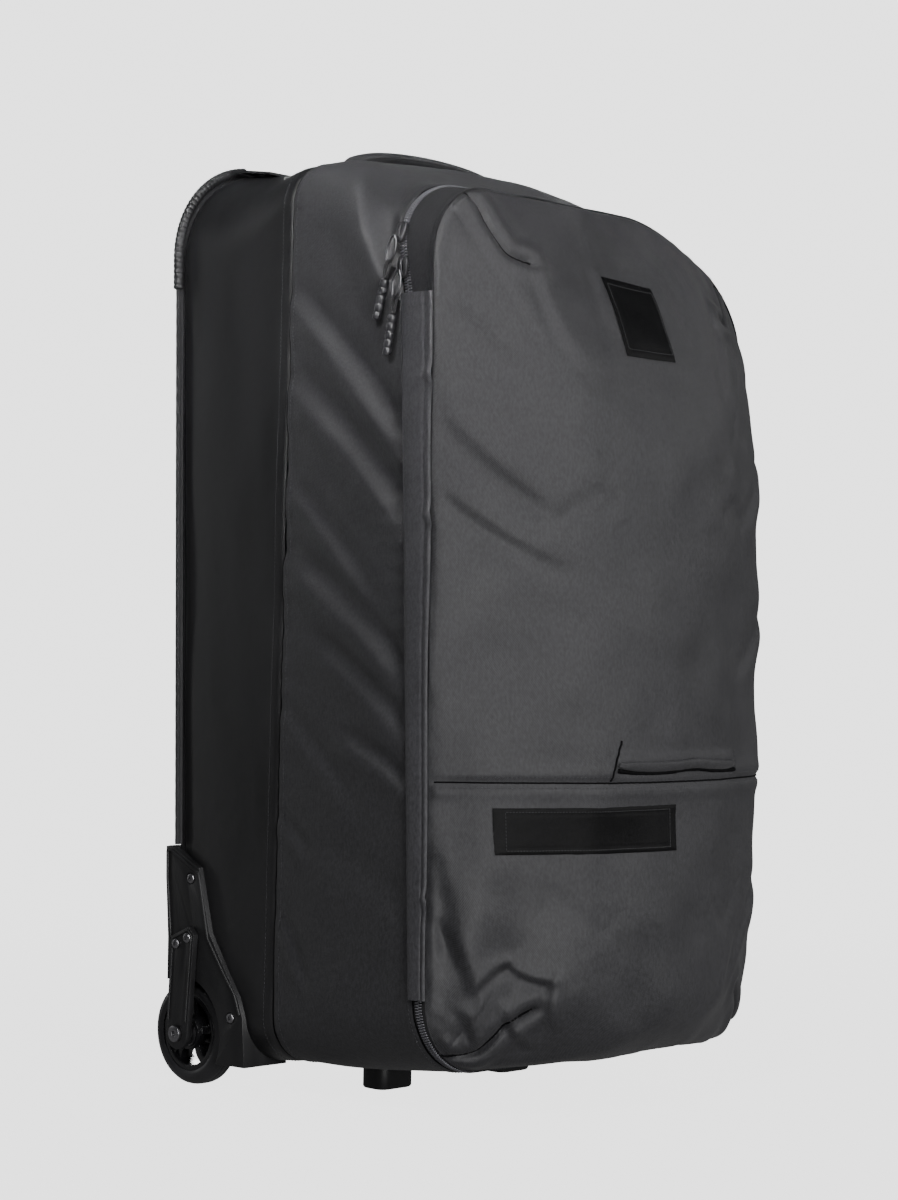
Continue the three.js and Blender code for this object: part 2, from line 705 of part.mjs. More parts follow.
// A low arch whose ends come down upright on the two tabs.
function grabHandle() {
  const points = [];
  for (let turn = 180; turn >= 0; turn -= 15) {
    const angle = THREE.MathUtils.degToRad(turn);
    const x = HANDLE_REACH * Math.cos(angle);
    const z = HANDLE_PIVOT + HANDLE_RISE * Math.sin(angle) ** 0.9;
    points.push(new THREE.Vector3(x, HANDLE_Y, z));
  }
  const section = roundedShape(28, 10, 4.5);
  const extrudePath = new THREE.CatmullRomCurve3(points);
  const options = { steps: 18, bevelEnabled: false, extrudePath, curveSegments: 1 };
  return new THREE.ExtrudeGeometry(section, options);
}
add("grab_handle", "woven_fabric", grabHandle());

function handleTab(side) {
  const surface = skinTop(HANDLE_Y) + 1;
  return column(side * HANDLE_REACH, HANDLE_Y, surface + 0.6, HANDLE_PIVOT - 6, [20, 8], 3);
}
for (const [name, side] of SIDES) add(`handle_tab_${name}`, "trim_webbing", handleTab(side));

// ---------- zip sliders and pulls ----------
const UPPER_PARK = 708; // heights where the two sliders are parked
const LOWER_PARK = 680;
const UPPER_ZIP_Y = zipLine(UPPER_PARK);
const ZIP_CENTRE = [
  HALF_WIDTH - cornerRadius(UPPER_ZIP_Y, 1),
  skinTop(UPPER_ZIP_Y) - cornerRadius(UPPER_ZIP_Y, 1),
]; // middle of the zip's upper corner arc, as distance from the centre plane and height
const PULL_X = -208.4;
const PULL_DROP = 3; // pull pivot below the slider's middle
const WIRE_RADIUS = 0.9;

function sliderBody() {
  const plate = box([-205.4, -201.3], [-4.5, 4.5], [-7, 7]);
  const bridge = box([-206.9, -205], [-1.6, 1.6], [-5, 5]);
  return joined(plate, bridge);
}

// Oval wire loop in the YZ plane, its top at the origin.
function wireLoop() {
  const rings = [];
  const steps = 20;
  const [halfWidth, halfHeight] = [4.2, 11];
  for (let i = 0; i < steps; i++) {
    const turn = (2 * Math.PI * i) / steps;
    const centre = new THREE.Vector3(0, halfWidth * Math.cos(turn), halfHeight * (Math.sin(turn) - 1));
    const outward = new THREE.Vector3(0, halfHeight * Math.cos(turn), halfWidth * Math.sin(turn));
    outward.normalize();
    const ring = [];
    for (let k = 0; k < 6; k++) {
      const angle = (2 * Math.PI * k) / 6;
      const point = centre.clone().addScaledVector(outward, WIRE_RADIUS * Math.cos(angle));
      point.x += WIRE_RADIUS * Math.sin(angle);
      ring.push(point);
    }
    rings.push(ring);
  }
  return skinOfRings(rings, true);
}

// Cord with a ribbed crimp sleeve, hanging below the wire loop.
function pullCord() {
  const top = -24;
  const profile = [[0, top], [1.7, top], [1.7, top - 12]];
  for (let rib = 0; rib < 4; rib++) {
    const z = top - 12 - 8 * rib;
    profile.push([3.5, z - 0.5], [3.5, z - 5], [2.9, z - 6.2], [2.9, z - 7.4]);
  }
  profile.push([0, top - 44.5]);
  const points = profile.reverse().map((p) => new THREE.Vector2(...p));
  return new THREE.LatheGeometry(points, 10).rotateX(Math.PI / 2);
}

// A pull with its pivot at the given place, leaning backwards by lean.
function addPull(name, y, z, lean) {
  const pull = new THREE.Group();
  pull.position.set(PULL_X, y, z);
  pull.rotation.x = lean;
  bag.add(pull);
  add(`pull_loop_${name}`, "zip_metal", wireLoop(), pull);
  add(`pull_cord_${name}`, "cord_sleeve", pullCord(), pull);
}

// The upper slider sits on the corner arc, so it is turned about the arc's centre.
const upperTurn = Math.asin((UPPER_PARK - ZIP_CENTRE[1]) / cornerRadius(UPPER_ZIP_Y, 1));
const upperSeat = new THREE.Group();
upperSeat.position.set(-ZIP_CENTRE[0], UPPER_ZIP_Y, ZIP_CENTRE[1]);
upperSeat.rotation.y = upperTurn;
bag.add(upperSeat);
add("zipper_slider_upper", "zip_metal", sliderBody().translate(ZIP_CENTRE[0], 0, 0), upperSeat);
addPull("upper", UPPER_ZIP_Y, UPPER_PARK - PULL_DROP, THREE.MathUtils.degToRad(16));

const lowerSlider = sliderBody().translate(0, zipLine(LOWER_PARK), LOWER_PARK);
add("zipper_slider_lower", "zip_metal", lowerSlider);
addPull("lower", zipLine(LOWER_PARK), LOWER_PARK - PULL_DROP, THREE.MathUtils.degToRad(10));

export default bag;
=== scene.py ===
import math

import bmesh
import bpy
import numpy as np
from mathutils import Euler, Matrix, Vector

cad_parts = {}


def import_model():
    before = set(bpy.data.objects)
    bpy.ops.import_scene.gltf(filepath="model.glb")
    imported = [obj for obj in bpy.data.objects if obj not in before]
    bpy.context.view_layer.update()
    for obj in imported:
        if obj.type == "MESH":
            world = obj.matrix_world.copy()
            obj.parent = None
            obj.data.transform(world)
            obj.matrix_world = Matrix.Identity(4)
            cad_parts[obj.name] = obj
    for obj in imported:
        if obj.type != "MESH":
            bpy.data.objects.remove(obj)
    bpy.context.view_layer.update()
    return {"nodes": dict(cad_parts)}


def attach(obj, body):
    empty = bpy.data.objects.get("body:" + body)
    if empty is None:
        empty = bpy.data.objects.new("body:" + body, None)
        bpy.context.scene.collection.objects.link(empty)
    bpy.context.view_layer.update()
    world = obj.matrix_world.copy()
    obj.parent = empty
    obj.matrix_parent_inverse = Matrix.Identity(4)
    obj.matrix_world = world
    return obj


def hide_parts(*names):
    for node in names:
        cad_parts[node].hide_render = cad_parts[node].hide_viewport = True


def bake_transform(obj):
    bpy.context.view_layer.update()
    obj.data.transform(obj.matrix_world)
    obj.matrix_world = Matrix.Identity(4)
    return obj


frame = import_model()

MM = 0.001
SIDES = {"left": -1, "right": 1}

# ---------- the bag's form, as the part is drawn ----------
HALF_WIDTH = 200
WALL = 4
CROWN_Y = -208.5  # furthest forward place of the lid
TOP_SLOPE = 0.1526  # rise of the top for each millimetre towards the back
REAR_CORNER = 86  # radius of the back panel's upper corners
PIPING_OFFSET = 3.2
TUBE_X = 95
AXLE_Y = 163.5
AXLE_Z = 45
WHEEL_X = 188
MIDDLE_Z = 400


def smoothstep(value, low, high):
    """Eases from 0 at low to 1 at high."""
    share = np.clip((value - low) / (high - low), 0, 1)
    return share * share * (3 - 2 * share)


def between(value, start, rise, fall, end):
    """1 from rise to fall, easing from 0 at the start and to 0 at the end."""
    return smoothstep(value, start, rise) * (1 - smoothstep(value, fall, end))


def bell(value, at, width):
    """1 where the value is at the place, fading to 0 at about twice the width from it."""
    return np.exp(-(((value - at) / width) ** 2))


def mix(a, b, share):
    return a + (b - a) * share


# Depths (y) of the planes that the seams lie in, for a height (z). They lean a little.
def rear_face(z):
    return 168.5 + 0.0239 * z


def band_seam(z):
    return 57 - 0.0137 * z


def gusset_edge(z):
    return -113.5 + 0.0405 * z + 10 * smoothstep(z, 640, 730)


def zip_line(z):
    return gusset_edge(z) - 5


def lid_seam(z):
    return -123.5 + 0.009 * z


# Heights of the top and the underside, for a depth.
def skin_top(y):
    return 766 + TOP_SLOPE * y


def skin_floor(y):
    return 32.5 - 0.055 * y


def corner_radii(y):
    """Bottom and top corner radius of the bag at a depth."""
    share = (y - zip_line(MIDDLE_Z)) / (rear_face(MIDDLE_Z) - zip_line(MIDDLE_Z))
    pulled_up = 44 * bell(y, 46, 52)
    return mix(60, 30, share), mix(62, REAR_CORNER, share) - pulled_up


def filled_top(x, y, z):
    """How far the stuffed top panel stands above its drawn skin."""
    across = np.clip(1 - (x / 202) ** 2, 0, 1) ** 0.6
    return 21 * across * smoothstep(z, 715, 750) * bell(y, 24, 44)


def ring_steps(side, corner, end):
    """Places round the outline: right side 0-1, corner 1-2, top 2-3, and on round to 8."""
    counts = [side, corner, end, corner] * 2
    return np.concatenate([i + np.arange(n) / n for i, n in enumerate(counts)])


def outline(s, half, low, top, low_radius, top_radius):
    """X and Z of places round a rounded rectangle."""
    part = np.floor(s).astype(int) % 8
    share = s - np.floor(s)
    cos, sin = np.cos(share * math.pi / 2), np.sin(share * math.pi / 2)
    rise = share * (top - top_radius - low - low_radius)
    upper, lower = half - top_radius, half - low_radius
    x = [
        half + 0 * rise,
        upper + top_radius * cos,
        upper * (1 - 2 * share),
        -upper - top_radius * sin,
        -half + 0 * rise,
        -lower - low_radius * cos,
        lower * (2 * share - 1),
        lower + low_radius * sin,
    ]
    z = [
        low + low_radius + rise,
        top - top_radius + top_radius * sin,
        top + 0 * rise,
        top - top_radius + top_radius * cos,
        top - top_radius - rise,
        low + low_radius - low_radius * sin,
        low + 0 * rise,
        low + low_radius - low_radius * cos,
    ]
    return tuple(np.select([part == i for i in range(8)], options) for options in (x, z))


def skin_grid(rear, front, shares, s, inset=0):
    """The bag's skin between two seam planes: one row for each share of the way forwards."""
    share = np.asarray(shares, float)[:, None]
    y = mix(rear(MIDDLE_Z), front(MIDDLE_Z), share) + 0 * s
    # The corners' radii depend on depth and the depth on height, so a few rounds settle both.
    for _ in range(5):
        low_radius, top_radius = corner_radii(y)
        low, top = skin_floor(y) + inset, skin_top(y) - inset
        x, z = outline(s, HALF_WIDTH - inset, low, top, low_radius - inset, top_radius - inset)
        y = mix(rear(z), front(z), share)
    return np.stack([x, y, z], -1)


# ---------- geometry helpers ----------
def full_turn(count):
    return np.linspace(0, 2 * math.pi, count, endpoint=False)


def unit(vectors):
    return vectors / np.maximum(np.linalg.norm(vectors, axis=-1, keepdims=True), 1e-9)


def slope(grid, axis, wrap):
    """Steps between neighbours of a grid, whose last column joins its first if it wraps."""
    if wrap:
        return np.roll(grid, -1, axis) - np.roll(grid, 1, axis)
    return np.gradient(grid, axis=axis)


def grid_normals(grid, wrap=False):
    return unit(np.cross(slope(grid, 1, wrap), slope(grid, 0, False)))


def lengths(path):
    """Distance along a path to each of its points."""
    return np.concatenate([[0], np.cumsum(np.linalg.norm(np.diff(path, axis=0), axis=1))])


def tangents(path):
    return unit(np.gradient(path, axis=0))


def spaced(path, pitch, *fields):
    """Evenly spaced points of a path, with its tangents there and any fields given along it."""
    run = lengths(path)
    count = max(2, int(run[-1] / pitch))
    at = (np.arange(count) + 0.5) * run[-1] / count

    def sample(field):
        return np.stack([np.interp(at, run, field[:, k]) for k in range(3)], -1)

    tangent = tangents(path)
    return [sample(path), unit(sample(tangent))] + [unit(sample(f)) for f in fields]


def curve(points, count):
    """A smooth path through the points (Catmull-Rom), evenly sampled in its parameter."""
    p = np.asarray(points, float)
    p = np.concatenate([[2 * p[0] - p[1]], p, [2 * p[-1] - p[-2]]])
    t = np.linspace(0, len(points) - 1, count)
    i = np.minimum(t.astype(int), len(points) - 2)
    f = (t - i).reshape((-1,) + (1,) * (p.ndim - 1))
    a, b, c, d = p[i], p[i + 1], p[i + 2], p[i + 3]
    return 0.5 * (2 * b + (c - a) * f + (2 * a - 5 * b + 4 * c - d) * f**2
                  + (3 * b - a - 3 * c + d) * f**3)


def frames(tangent, outward):
    """Right-handed axes for each point: along the path, across it, and outwards."""
    across = unit(np.cross(outward, tangent))
    return np.stack([tangent, across, np.cross(tangent, across)], 1)


def section_ring(count, power=2):
    """Points round a unit circle, or round a squarer superellipse when power is above 2."""
    turn = full_turn(count)
    cos, sin = np.cos(turn), np.sin(turn)
    squash = (np.abs(cos) ** power + np.abs(sin) ** power) ** (-1 / power)
    return np.stack([cos * squash, sin * squash], -1)


def sweep(path, outward, section, scale=1, closed_ends=True):
    """A grid that carries a section (across, outwards) along a path; the ends close to a point."""
    axes = frames(tangents(path), np.broadcast_to(outward, path.shape))
    size = np.broadcast_to(np.asarray(scale, float), (len(path),))[:, None, None]
    rows = path[:, None] + size * (section[:, :1] * axes[:, None, 1] + section[:, 1:] * axes[:, None, 2])
    if closed_ends:
        first = np.broadcast_to(path[0], rows[0].shape)[None]
        last = np.broadcast_to(path[-1], rows[0].shape)[None]
        rows = np.concatenate([first, rows, last])
    return rows


def bar_template(length, width, height, rows=6, cols=8, power=3):
    """A small rounded bar along its first axis, as a grid."""
    t = np.linspace(-1, 1, rows)
    swell = np.sqrt(np.clip(1 - np.abs(t) ** 4, 0, 1))
    ring = section_ring(cols, power) * [width / 2, height / 2]
    return np.concatenate(
        [np.broadcast_to((t * length / 2)[:, None, None], (rows, cols, 1)), swell[:, None, None] * ring],
        -1,
    )


def turned_grid(profile, centre, turns):
    """A profile of (x offset, radius) turned about an axis along X."""
    angle = full_turn(turns)
    offset, radius = np.asarray(profile, float).T[..., None]
    return np.stack([offset + 0 * angle, radius * np.cos(angle), radius * np.sin(angle)], -1) + centre


def rounded_block(size, radius, bevel):
    """A block with rounded upright corners and eased top and bottom edges, about the origin."""
    width, depth, height = size
    s = ring_steps(2, 5, 2)
    upper = [(height / 2 - bevel, 0), (height / 2 - 0.3 * bevel, 0.3 * bevel)]
    upper += [(height / 2, bevel), (height / 2, 0.5 * (width + depth))]
    lower = [(-z, inset) for z, inset in upper[::-1]]
    rows = []
    for z, inset in lower + upper:
        half_width, half_depth = max(width / 2 - inset, 0), max(depth / 2 - inset, 0)
        corner = min(max(radius - inset, 0), half_width, half_depth)
        x, y = outline(s, half_width, -half_depth, half_depth, corner, corner)
        rows.append(np.stack([x, y, np.full_like(x, z)], -1))
    return np.array(rows)


def new_object(name, data):
    """An object in the scene that holds the mesh, light or camera."""
    item = bpy.data.objects.new(name, data)
    bpy.context.scene.collection.objects.link(item)
    return item


class Piece:
    """One mesh under construction, in millimetres, made of grids of points."""

    def __init__(self, name):
        self.name = name
        self.count = 0
        self.points, self.quads, self.uvs, self.looks = [], [], [], []

    def grid(self, points, look=0, wrap=False, keep=None, flip=False, uv=None):
        """Adds the faces between a grid's points. Wrap joins its last column to its first, keep
        marks the faces that stay and flip turns them over."""
        rows, cols = points.shape[:2]
        span = cols if wrap else cols - 1
        r, c = np.meshgrid(np.arange(rows - 1), np.arange(span), indexing="ij")
        if keep is not None:
            chosen = keep[:, :span]
            r, c = r[chosen], c[chosen]
        r, c = r.ravel(), c.ravel()
        if uv is None:
            uv = grid_uv(points, wrap)
        steps = [(0, 0), (0, 1), (1, 1), (1, 0)]
        quads = np.stack([self.count + (r + i) * cols + (c + j) % cols for i, j in steps], -1)
        corners = np.stack([uv[r + i, c + j] for i, j in steps], 1)
        if flip:
            quads, corners = quads[:, ::-1], corners[:, ::-1]
        self.points.append(points.reshape(-1, 3))
        self.quads.append(quads)
        self.uvs.append(corners)
        self.looks.append(np.full(len(quads), look))
        self.count += rows * cols

    def copies(self, template, places, axes, look=0):
        """The template at each place, its three axes turned to the given ones."""
        for place, turn in zip(places, axes):
            self.grid(place + template @ turn, look, wrap=True)

    def shell(self, outer, thickness, wrap=False, keep=None, looks=(0, 1), uv=None):
        """A sheet with thickness: its outside, its inside and the edges between them."""
        inner = outer - grid_normals(outer, wrap) * thickness
        self.grid(outer, looks[0], wrap, keep, uv=uv)
        self.grid(inner, looks[1], wrap, keep, flip=True, uv=uv)
        if keep is None:
            keep = np.ones((outer.shape[0] - 1, outer.shape[1]), bool)
        self.grid(np.stack([inner[0], outer[0]]), looks[0], wrap, keep[:1])
        self.grid(np.stack([outer[-1], inner[-1]]), looks[0], wrap, keep[-1:])
        if not wrap:
            self.grid(np.stack([outer[:, 0], inner[:, 0]]), looks[0], keep=keep[:, :1].T)
            self.grid(np.stack([inner[:, -1], outer[:, -1]]), looks[0], keep=keep[:, -1:].T)

    def build(self, body, slot, looks, replaces=(), facing=False, sharp=60):
        """Makes the object on its body. The grids' look numbers count the names in looks; facing
        turns all faces outwards, and edges sharper than sharp (degrees) aren't smoothed."""
        mesh = bpy.data.meshes.new(self.name)
        mesh.from_pydata((np.concatenate(self.points) * MM).tolist(), [],
                         np.concatenate(self.quads).tolist())
        layer = mesh.uv_layers.new(name="UVMap")
        layer.data.foreach_set("uv", np.concatenate(self.uvs).astype(np.float32).ravel())
        mesh.polygons.foreach_set("material_index", np.concatenate(self.looks).astype(np.int32))
        work = bmesh.new()
        work.from_mesh(mesh)
        bmesh.ops.remove_doubles(work, verts=work.verts, dist=2e-6)
        loose = [v for v in work.verts if not v.link_faces]
        bmesh.ops.delete(work, geom=loose, context="VERTS")
        if facing:
            bmesh.ops.recalc_face_normals(work, faces=work.faces)
        work.to_mesh(mesh)
        work.free()
        for look in looks.split():
            mesh.materials.append(LOOKS[look])
        mesh.shade_smooth()
        mesh.set_sharp_from_angle(angle=math.radians(sharp))
        piece = new_object(self.name, mesh)
        if body:
            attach(piece, body)
        if replaces:
            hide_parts(*replaces)
        return piece


def grid_uv(points, wrap):
    """Texture coordinates in metres of cloth along the middle column and the middle row."""
    rows, cols = points.shape[:2]
    middle_row = points[rows // 2]
    if wrap:
        middle_row = np.vstack([middle_row, middle_row[:1]])
    u = lengths(middle_row) * MM
    v = lengths(points[:, cols // 2]) * MM
    return np.stack(np.broadcast_arrays(u[None, :], v[:, None]), -1)


# ---------- fabric relief ----------
def ripples(points, seed, length, height, count=9):
    """Soft unevenness: seeded waves of about one length that cross in random directions."""
    rng = np.random.default_rng(seed)
    total = 0
    for _ in range(count):
        direction = unit(rng.normal(size=3))
        wave = 2 * math.pi / (length * rng.uniform(0.7, 1.5))
        total = total + np.sin(points @ direction * wave + rng.uniform(0, 2 * math.pi))
    return total * height / math.sqrt(count)


def path_distance(chart, path):
    """Distance from each point of a flat chart to a path."""
    best = np.full(chart.shape[:-1], 1e9)
    for a, b in zip(np.asarray(path, float)[:-1], np.asarray(path, float)[1:]):
        along = np.clip(((chart - a) @ (b - a)) / ((b - a) @ (b - a)), 0, 1)
        best = np.minimum(best, np.linalg.norm(chart - a - along[..., None] * (b - a), axis=-1))
    return best


def fold(chart, start, end, width, height, bow=0):
    """A drape fold: a ridge along a line with a valley on its lower side, fading at both ends."""
    a, b = np.asarray(start, float), np.asarray(end, float)
    run = np.linalg.norm(b - a)
    along = ((chart - a) @ (b - a)) / run**2
    away = ((chart - a) @ np.array([b[1] - a[1], a[0] - b[0]])) / run
    away = away - bow * 4 * along * (1 - along)
    fade = between(along, -0.12, 0.22, 0.78, 1.12)
    flank = np.where(away < 0, 1.2 * width, 0.55 * width)
    ridge = bell(away, 0, flank)
    valley = bell(away, 1.15 * width, 0.6 * width)
    return fade * height * (ridge - 0.75 * valley)


def seam_relief(distance, depth, reach=2.4, puff=1.6):
    """Cloth beside a seam: a narrow channel between two soft swells."""
    swell = puff * bell(distance, 4 * reach, 3 * reach)
    return swell - depth * bell(distance, 0, reach)


def puckers(along, away, seed, pitch, height, reach):
    """Small gathers that run out from a seam."""
    rng = np.random.default_rng(seed)
    phase = rng.uniform(0, 2 * math.pi, 3)
    drift = 1.3 * np.sin(along / (2.7 * pitch) + phase[0]) + 0.8 * np.sin(along / (7.1 * pitch) + phase[1])
    strength = 0.55 + 0.45 * np.sin(along / (5.3 * pitch) + phase[2])
    return height * strength * np.sin(2 * math.pi * along / pitch + drift) * np.exp(-away / reach)


# ---------- cloth simulation ----------
COARSE = 3  # the simulated sheet has one point for this many rows and columns of a panel
LAST_FRAME = 20
GATHER_REACH = 70  # how far from a seam the cloth is gathered


def finer(moves, wrap):
    """Spreads the moves of a coarse sheet smoothly over the panel's own grid."""
    rows = curve(moves, (len(moves) - 1) * COARSE + 1)
    columns = np.swapaxes(rows, 0, 1)
    if not wrap:
        columns = curve(columns, (len(columns) - 1) * COARSE + 1)
    else:
        count = len(columns) * COARSE
        around = np.concatenate([columns[-2:], columns, columns[:3]])
        columns = curve(around, (len(around) - 1) * COARSE + 1)[2 * COARSE:2 * COARSE + count]
    return np.swapaxes(columns, 0, 1)


def sheet_object(points, wrap):
    """The coarse sheet as a mesh object in metres, its faces turned outwards."""
    rows, cols = points.shape[:2]
    faces = [
        (r * cols + c, r * cols + (c + 1) % cols, (r + 1) * cols + (c + 1) % cols, (r + 1) * cols + c)
        for r in range(rows - 1) for c in range(cols if wrap else cols - 1)
    ]
    mesh = bpy.data.meshes.new("sheet")
    mesh.from_pydata((points.reshape(-1, 3) * MM).tolist(), [], faces)
    return new_object("sheet", mesh)


def settled(grid, edge, wrap, pressure, gather, cap):
    """Simulates a panel as cloth: its seams are held, the cloth beside them is gathered and the
    filling presses outwards. Edge is each point's distance from a seam. Gives the move of every
    grid point, no longer than the cap."""
    start, near = grid[::COARSE, ::COARSE], edge[::COARSE, ::COARSE]
    sheet = sheet_object(start, wrap)
    held = sheet.vertex_groups.new(name="held")
    gathered = sheet.vertex_groups.new(name="gathered")
    for index, distance in enumerate(near.ravel().tolist()):
        if distance < 1:
            held.add([index], 1, "REPLACE")
        gathered.add([index], max(0, 1 - distance / GATHER_REACH), "REPLACE")
    cloth = sheet.modifiers.new("settle", "CLOTH")
    cloth.point_cache.frame_start, cloth.point_cache.frame_end = 1, LAST_FRAME
    rules = cloth.settings
    rules.quality = 6
    rules.mass = 0.15
    rules.tension_stiffness = rules.compression_stiffness = 20
    rules.shear_stiffness = 8
    rules.bending_stiffness = 0.12
    rules.air_damping = 3
    rules.use_pressure = True
    rules.uniform_pressure_force = pressure
    rules.vertex_group_mass = "held"
    rules.vertex_group_shrink = "gathered"
    rules.shrink_min, rules.shrink_max = 0, -gather
    rules.effector_weights.gravity = 0
    for frame_number in range(1, LAST_FRAME + 1):
        bpy.context.scene.frame_set(frame_number)
    result = sheet.evaluated_get(bpy.context.evaluated_depsgraph_get()).to_mesh()
    places = np.zeros(len(result.vertices) * 3, np.float32)
    result.vertices.foreach_get("co", places)
    moves = places.reshape(start.shape) / MM - start
    length = np.linalg.norm(moves, axis=-1, keepdims=True)
    moves = moves * np.minimum(1, cap / np.maximum(length, 1e-6))
    bpy.context.scene.frame_set(1)
    bpy.data.objects.remove(sheet)
    return finer(moves, wrap)


# ---------- materials ----------
class Look:
    """A procedural material: a principled shader with small helpers for its nodes."""

    def __init__(self, name, roughness, metallic=0, specular=0.5):
        self.material = bpy.data.materials.new(name)
        self.material.use_nodes = True
        self.tree = self.material.node_tree
        self.shader = self.tree.nodes["Principled BSDF"]
        self.set(Roughness=roughness, Metallic=metallic)
        self.shader.inputs["Specular IOR Level"].default_value = specular
        coords = self.tree.nodes.new("ShaderNodeTexCoord")
        self.object, self.uv = coords.outputs["Object"], coords.outputs["UV"]
        self.normal = None

    def set(self, **values):
        """Sets or links the shader's inputs, named with _ for a space."""
        for name, value in values.items():
            self.plug(value, self.shader.inputs[name.replace("_", " ")])

    def plug(self, value, socket):
        if isinstance(value, bpy.types.NodeSocket):
            self.tree.links.new(value, socket)
        else:
            socket.default_value = value

    def math(self, operation, *values):
        node = self.tree.nodes.new("ShaderNodeMath")
        node.operation = operation
        for value, socket in zip(values, node.inputs):
            self.plug(value, socket)
        return node.outputs[0]

    def noise(self, scale, detail=3, source=None, stretch=(1, 1, 1)):
        mapping = self.tree.nodes.new("ShaderNodeMapping")
        mapping.inputs["Scale"].default_value = stretch
        self.plug(source or self.object, mapping.inputs["Vector"])
        node = self.tree.nodes.new("ShaderNodeTexNoise")
        node.inputs["Scale"].default_value = scale
        node.inputs["Detail"].default_value = detail
        self.plug(mapping.outputs["Vector"], node.inputs["Vector"])
        return node.outputs["Fac"]

    def spread(self, value, low, high, start=0.3, end=0.7):
        """Maps a pattern's middle range onto low to high."""
        node = self.tree.nodes.new("ShaderNodeMapRange")
        for name, number in zip(("From Min", "From Max", "To Min", "To Max"), (start, end, low, high)):
            node.inputs[name].default_value = number
        self.plug(value, node.inputs["Value"])
        return node.outputs["Result"]

    def tones(self, share, dark, light):
        """Colours the surface from dark to light, both given as red, green and blue."""
        node = self.tree.nodes.new("ShaderNodeMix")
        node.data_type = "RGBA"
        self.plug(share, node.inputs["Factor"])
        colour_a, colour_b = [socket for socket in node.inputs if socket.type == "RGBA"]
        self.plug((*dark, 1), colour_a)
        self.plug((*light, 1), colour_b)
        colour = next(socket for socket in node.outputs if socket.type == "RGBA")
        self.set(Base_Color=colour)

    def bump(self, height, distance, strength=1):
        """Adds relief, in metres, on top of any relief already added."""
        node = self.tree.nodes.new("ShaderNodeBump")
        node.inputs["Distance"].default_value = distance
        node.inputs["Strength"].default_value = strength
        self.plug(height, node.inputs["Height"])
        if self.normal:
            self.plug(self.normal, node.inputs["Normal"])
        self.normal = node.outputs["Normal"]
        self.set(Normal=self.normal)

    def threads(self, pitch, twill):
        """Woven relief, 0 to 1, from the cloth's own coordinates; twill adds the diagonal."""
        split = self.tree.nodes.new("ShaderNodeSeparateXYZ")
        self.plug(self.uv, split.inputs[0])
        wave = 2 * math.pi / (pitch * MM)
        u = self.math("MULTIPLY", split.outputs[0], wave)
        v = self.math("MULTIPLY", split.outputs[1], wave)
        plain = self.math("MULTIPLY", self.math("SINE", u), self.math("SINE", v))
        diagonal = self.math("SINE", self.math("ADD", u, v))
        both = self.math("ADD", self.math("MULTIPLY", plain, 0.5 * (1 - twill)),
                         self.math("MULTIPLY", diagonal, 0.5 * twill))
        return self.math("ADD", both, 0.5)


def grey(value, blue=1.1):
    """A near-neutral colour, with a little more or less blue in it."""
    return (value, value * 0.985, value * blue)


def cloth_look(name, shade, pitch, twill, roughness, sheen, depth, gloss=0.35):
    """Woven cloth: threads, a heathered tone, painted shade in the hollows of the weave with lighter high
    spots, and a soft sheen.
    """
    look = Look(name, roughness, specular=gloss)
    weave = look.threads(pitch, twill)
    heather = look.noise(520, 3, stretch=(1, 1, 0.5))
    patchy = look.noise(14, 4)
    # The weave's relief is painted into the tone too: painted shade in the hollows between threads,
    # lighter on the high spots.
    tone = look.math("ADD", look.math("MULTIPLY", weave, 0.35), look.math("MULTIPLY", heather, 0.5))
    tone = look.math("ADD", tone, look.math("MULTIPLY", patchy, 0.15))
    look.tones(look.spread(tone, 0, 1, 0.35, 0.65), grey(shade * 0.45), grey(shade * 1.7))
    look.set(Roughness=look.spread(patchy, roughness - 0.07, roughness + 0.07))
    look.set(Sheen_Weight=sheen, Sheen_Roughness=0.45)
    look.bump(look.noise(60, 3), 0.0012, 0.35)
    look.bump(look.noise(420, 2), 0.0003, 0.5)
    look.bump(weave, depth * MM, 0.7)
    return look.material


def coated_look():
    """Coated cloth: a dark film over a fine weave, with grain, soft gloss and scuffs."""
    look = Look("coated_cloth", 0.42, specular=0.5)
    weave = look.threads(0.9, 0.0)
    scuff = look.noise(35, 6, stretch=(1, 1, 0.25))
    look.tones(look.spread(scuff, 0, 1, 0.35, 0.75), grey(0.0045), grey(0.008))
    look.set(Roughness=look.spread(scuff, 0.36, 0.5), Coat_Weight=0.12, Coat_Roughness=0.35)
    look.bump(look.noise(90, 3), 0.0008, 0.25)
    look.bump(weave, 0.00008, 0.6)
    look.bump(look.noise(2200, 2), 0.00006, 0.5)
    return look.material


def plastic_look(name, shade, roughness, grain=0.00012, scale=1600):
    """Moulded plastic: a fine spark-eroded grain, uneven gloss and handling marks."""
    look = Look(name, roughness, specular=0.5)
    marks = look.noise(48, 6, stretch=(1, 1, 0.35))
    look.tones(look.spread(marks, 0, 1), grey(shade * 0.8), grey(shade * 1.3))
    look.set(Roughness=look.spread(marks, roughness - 0.08, roughness + 0.1))
    look.bump(look.noise(30, 2), 0.0006, 0.2)
    look.bump(look.noise(scale, 2), grain, 0.5)
    return look.material


def metal_look(name, shade, roughness, stretch):
    """Metal with fine drawn lines along its length, a patchy polish and small dents."""
    look = Look(name, roughness, metallic=1)
    lines = look.noise(700, 3, stretch=stretch)
    polish = look.noise(60, 4)
    look.tones(look.spread(lines, 0, 1), grey(shade * 0.8, 1.03), grey(shade * 1.15, 1.03))
    look.set(Roughness=look.spread(polish, roughness - 0.08, roughness + 0.12))
    look.bump(lines, 0.00005, 0.4)
    look.bump(look.noise(160, 3), 0.0001, 0.3)
    return look.material


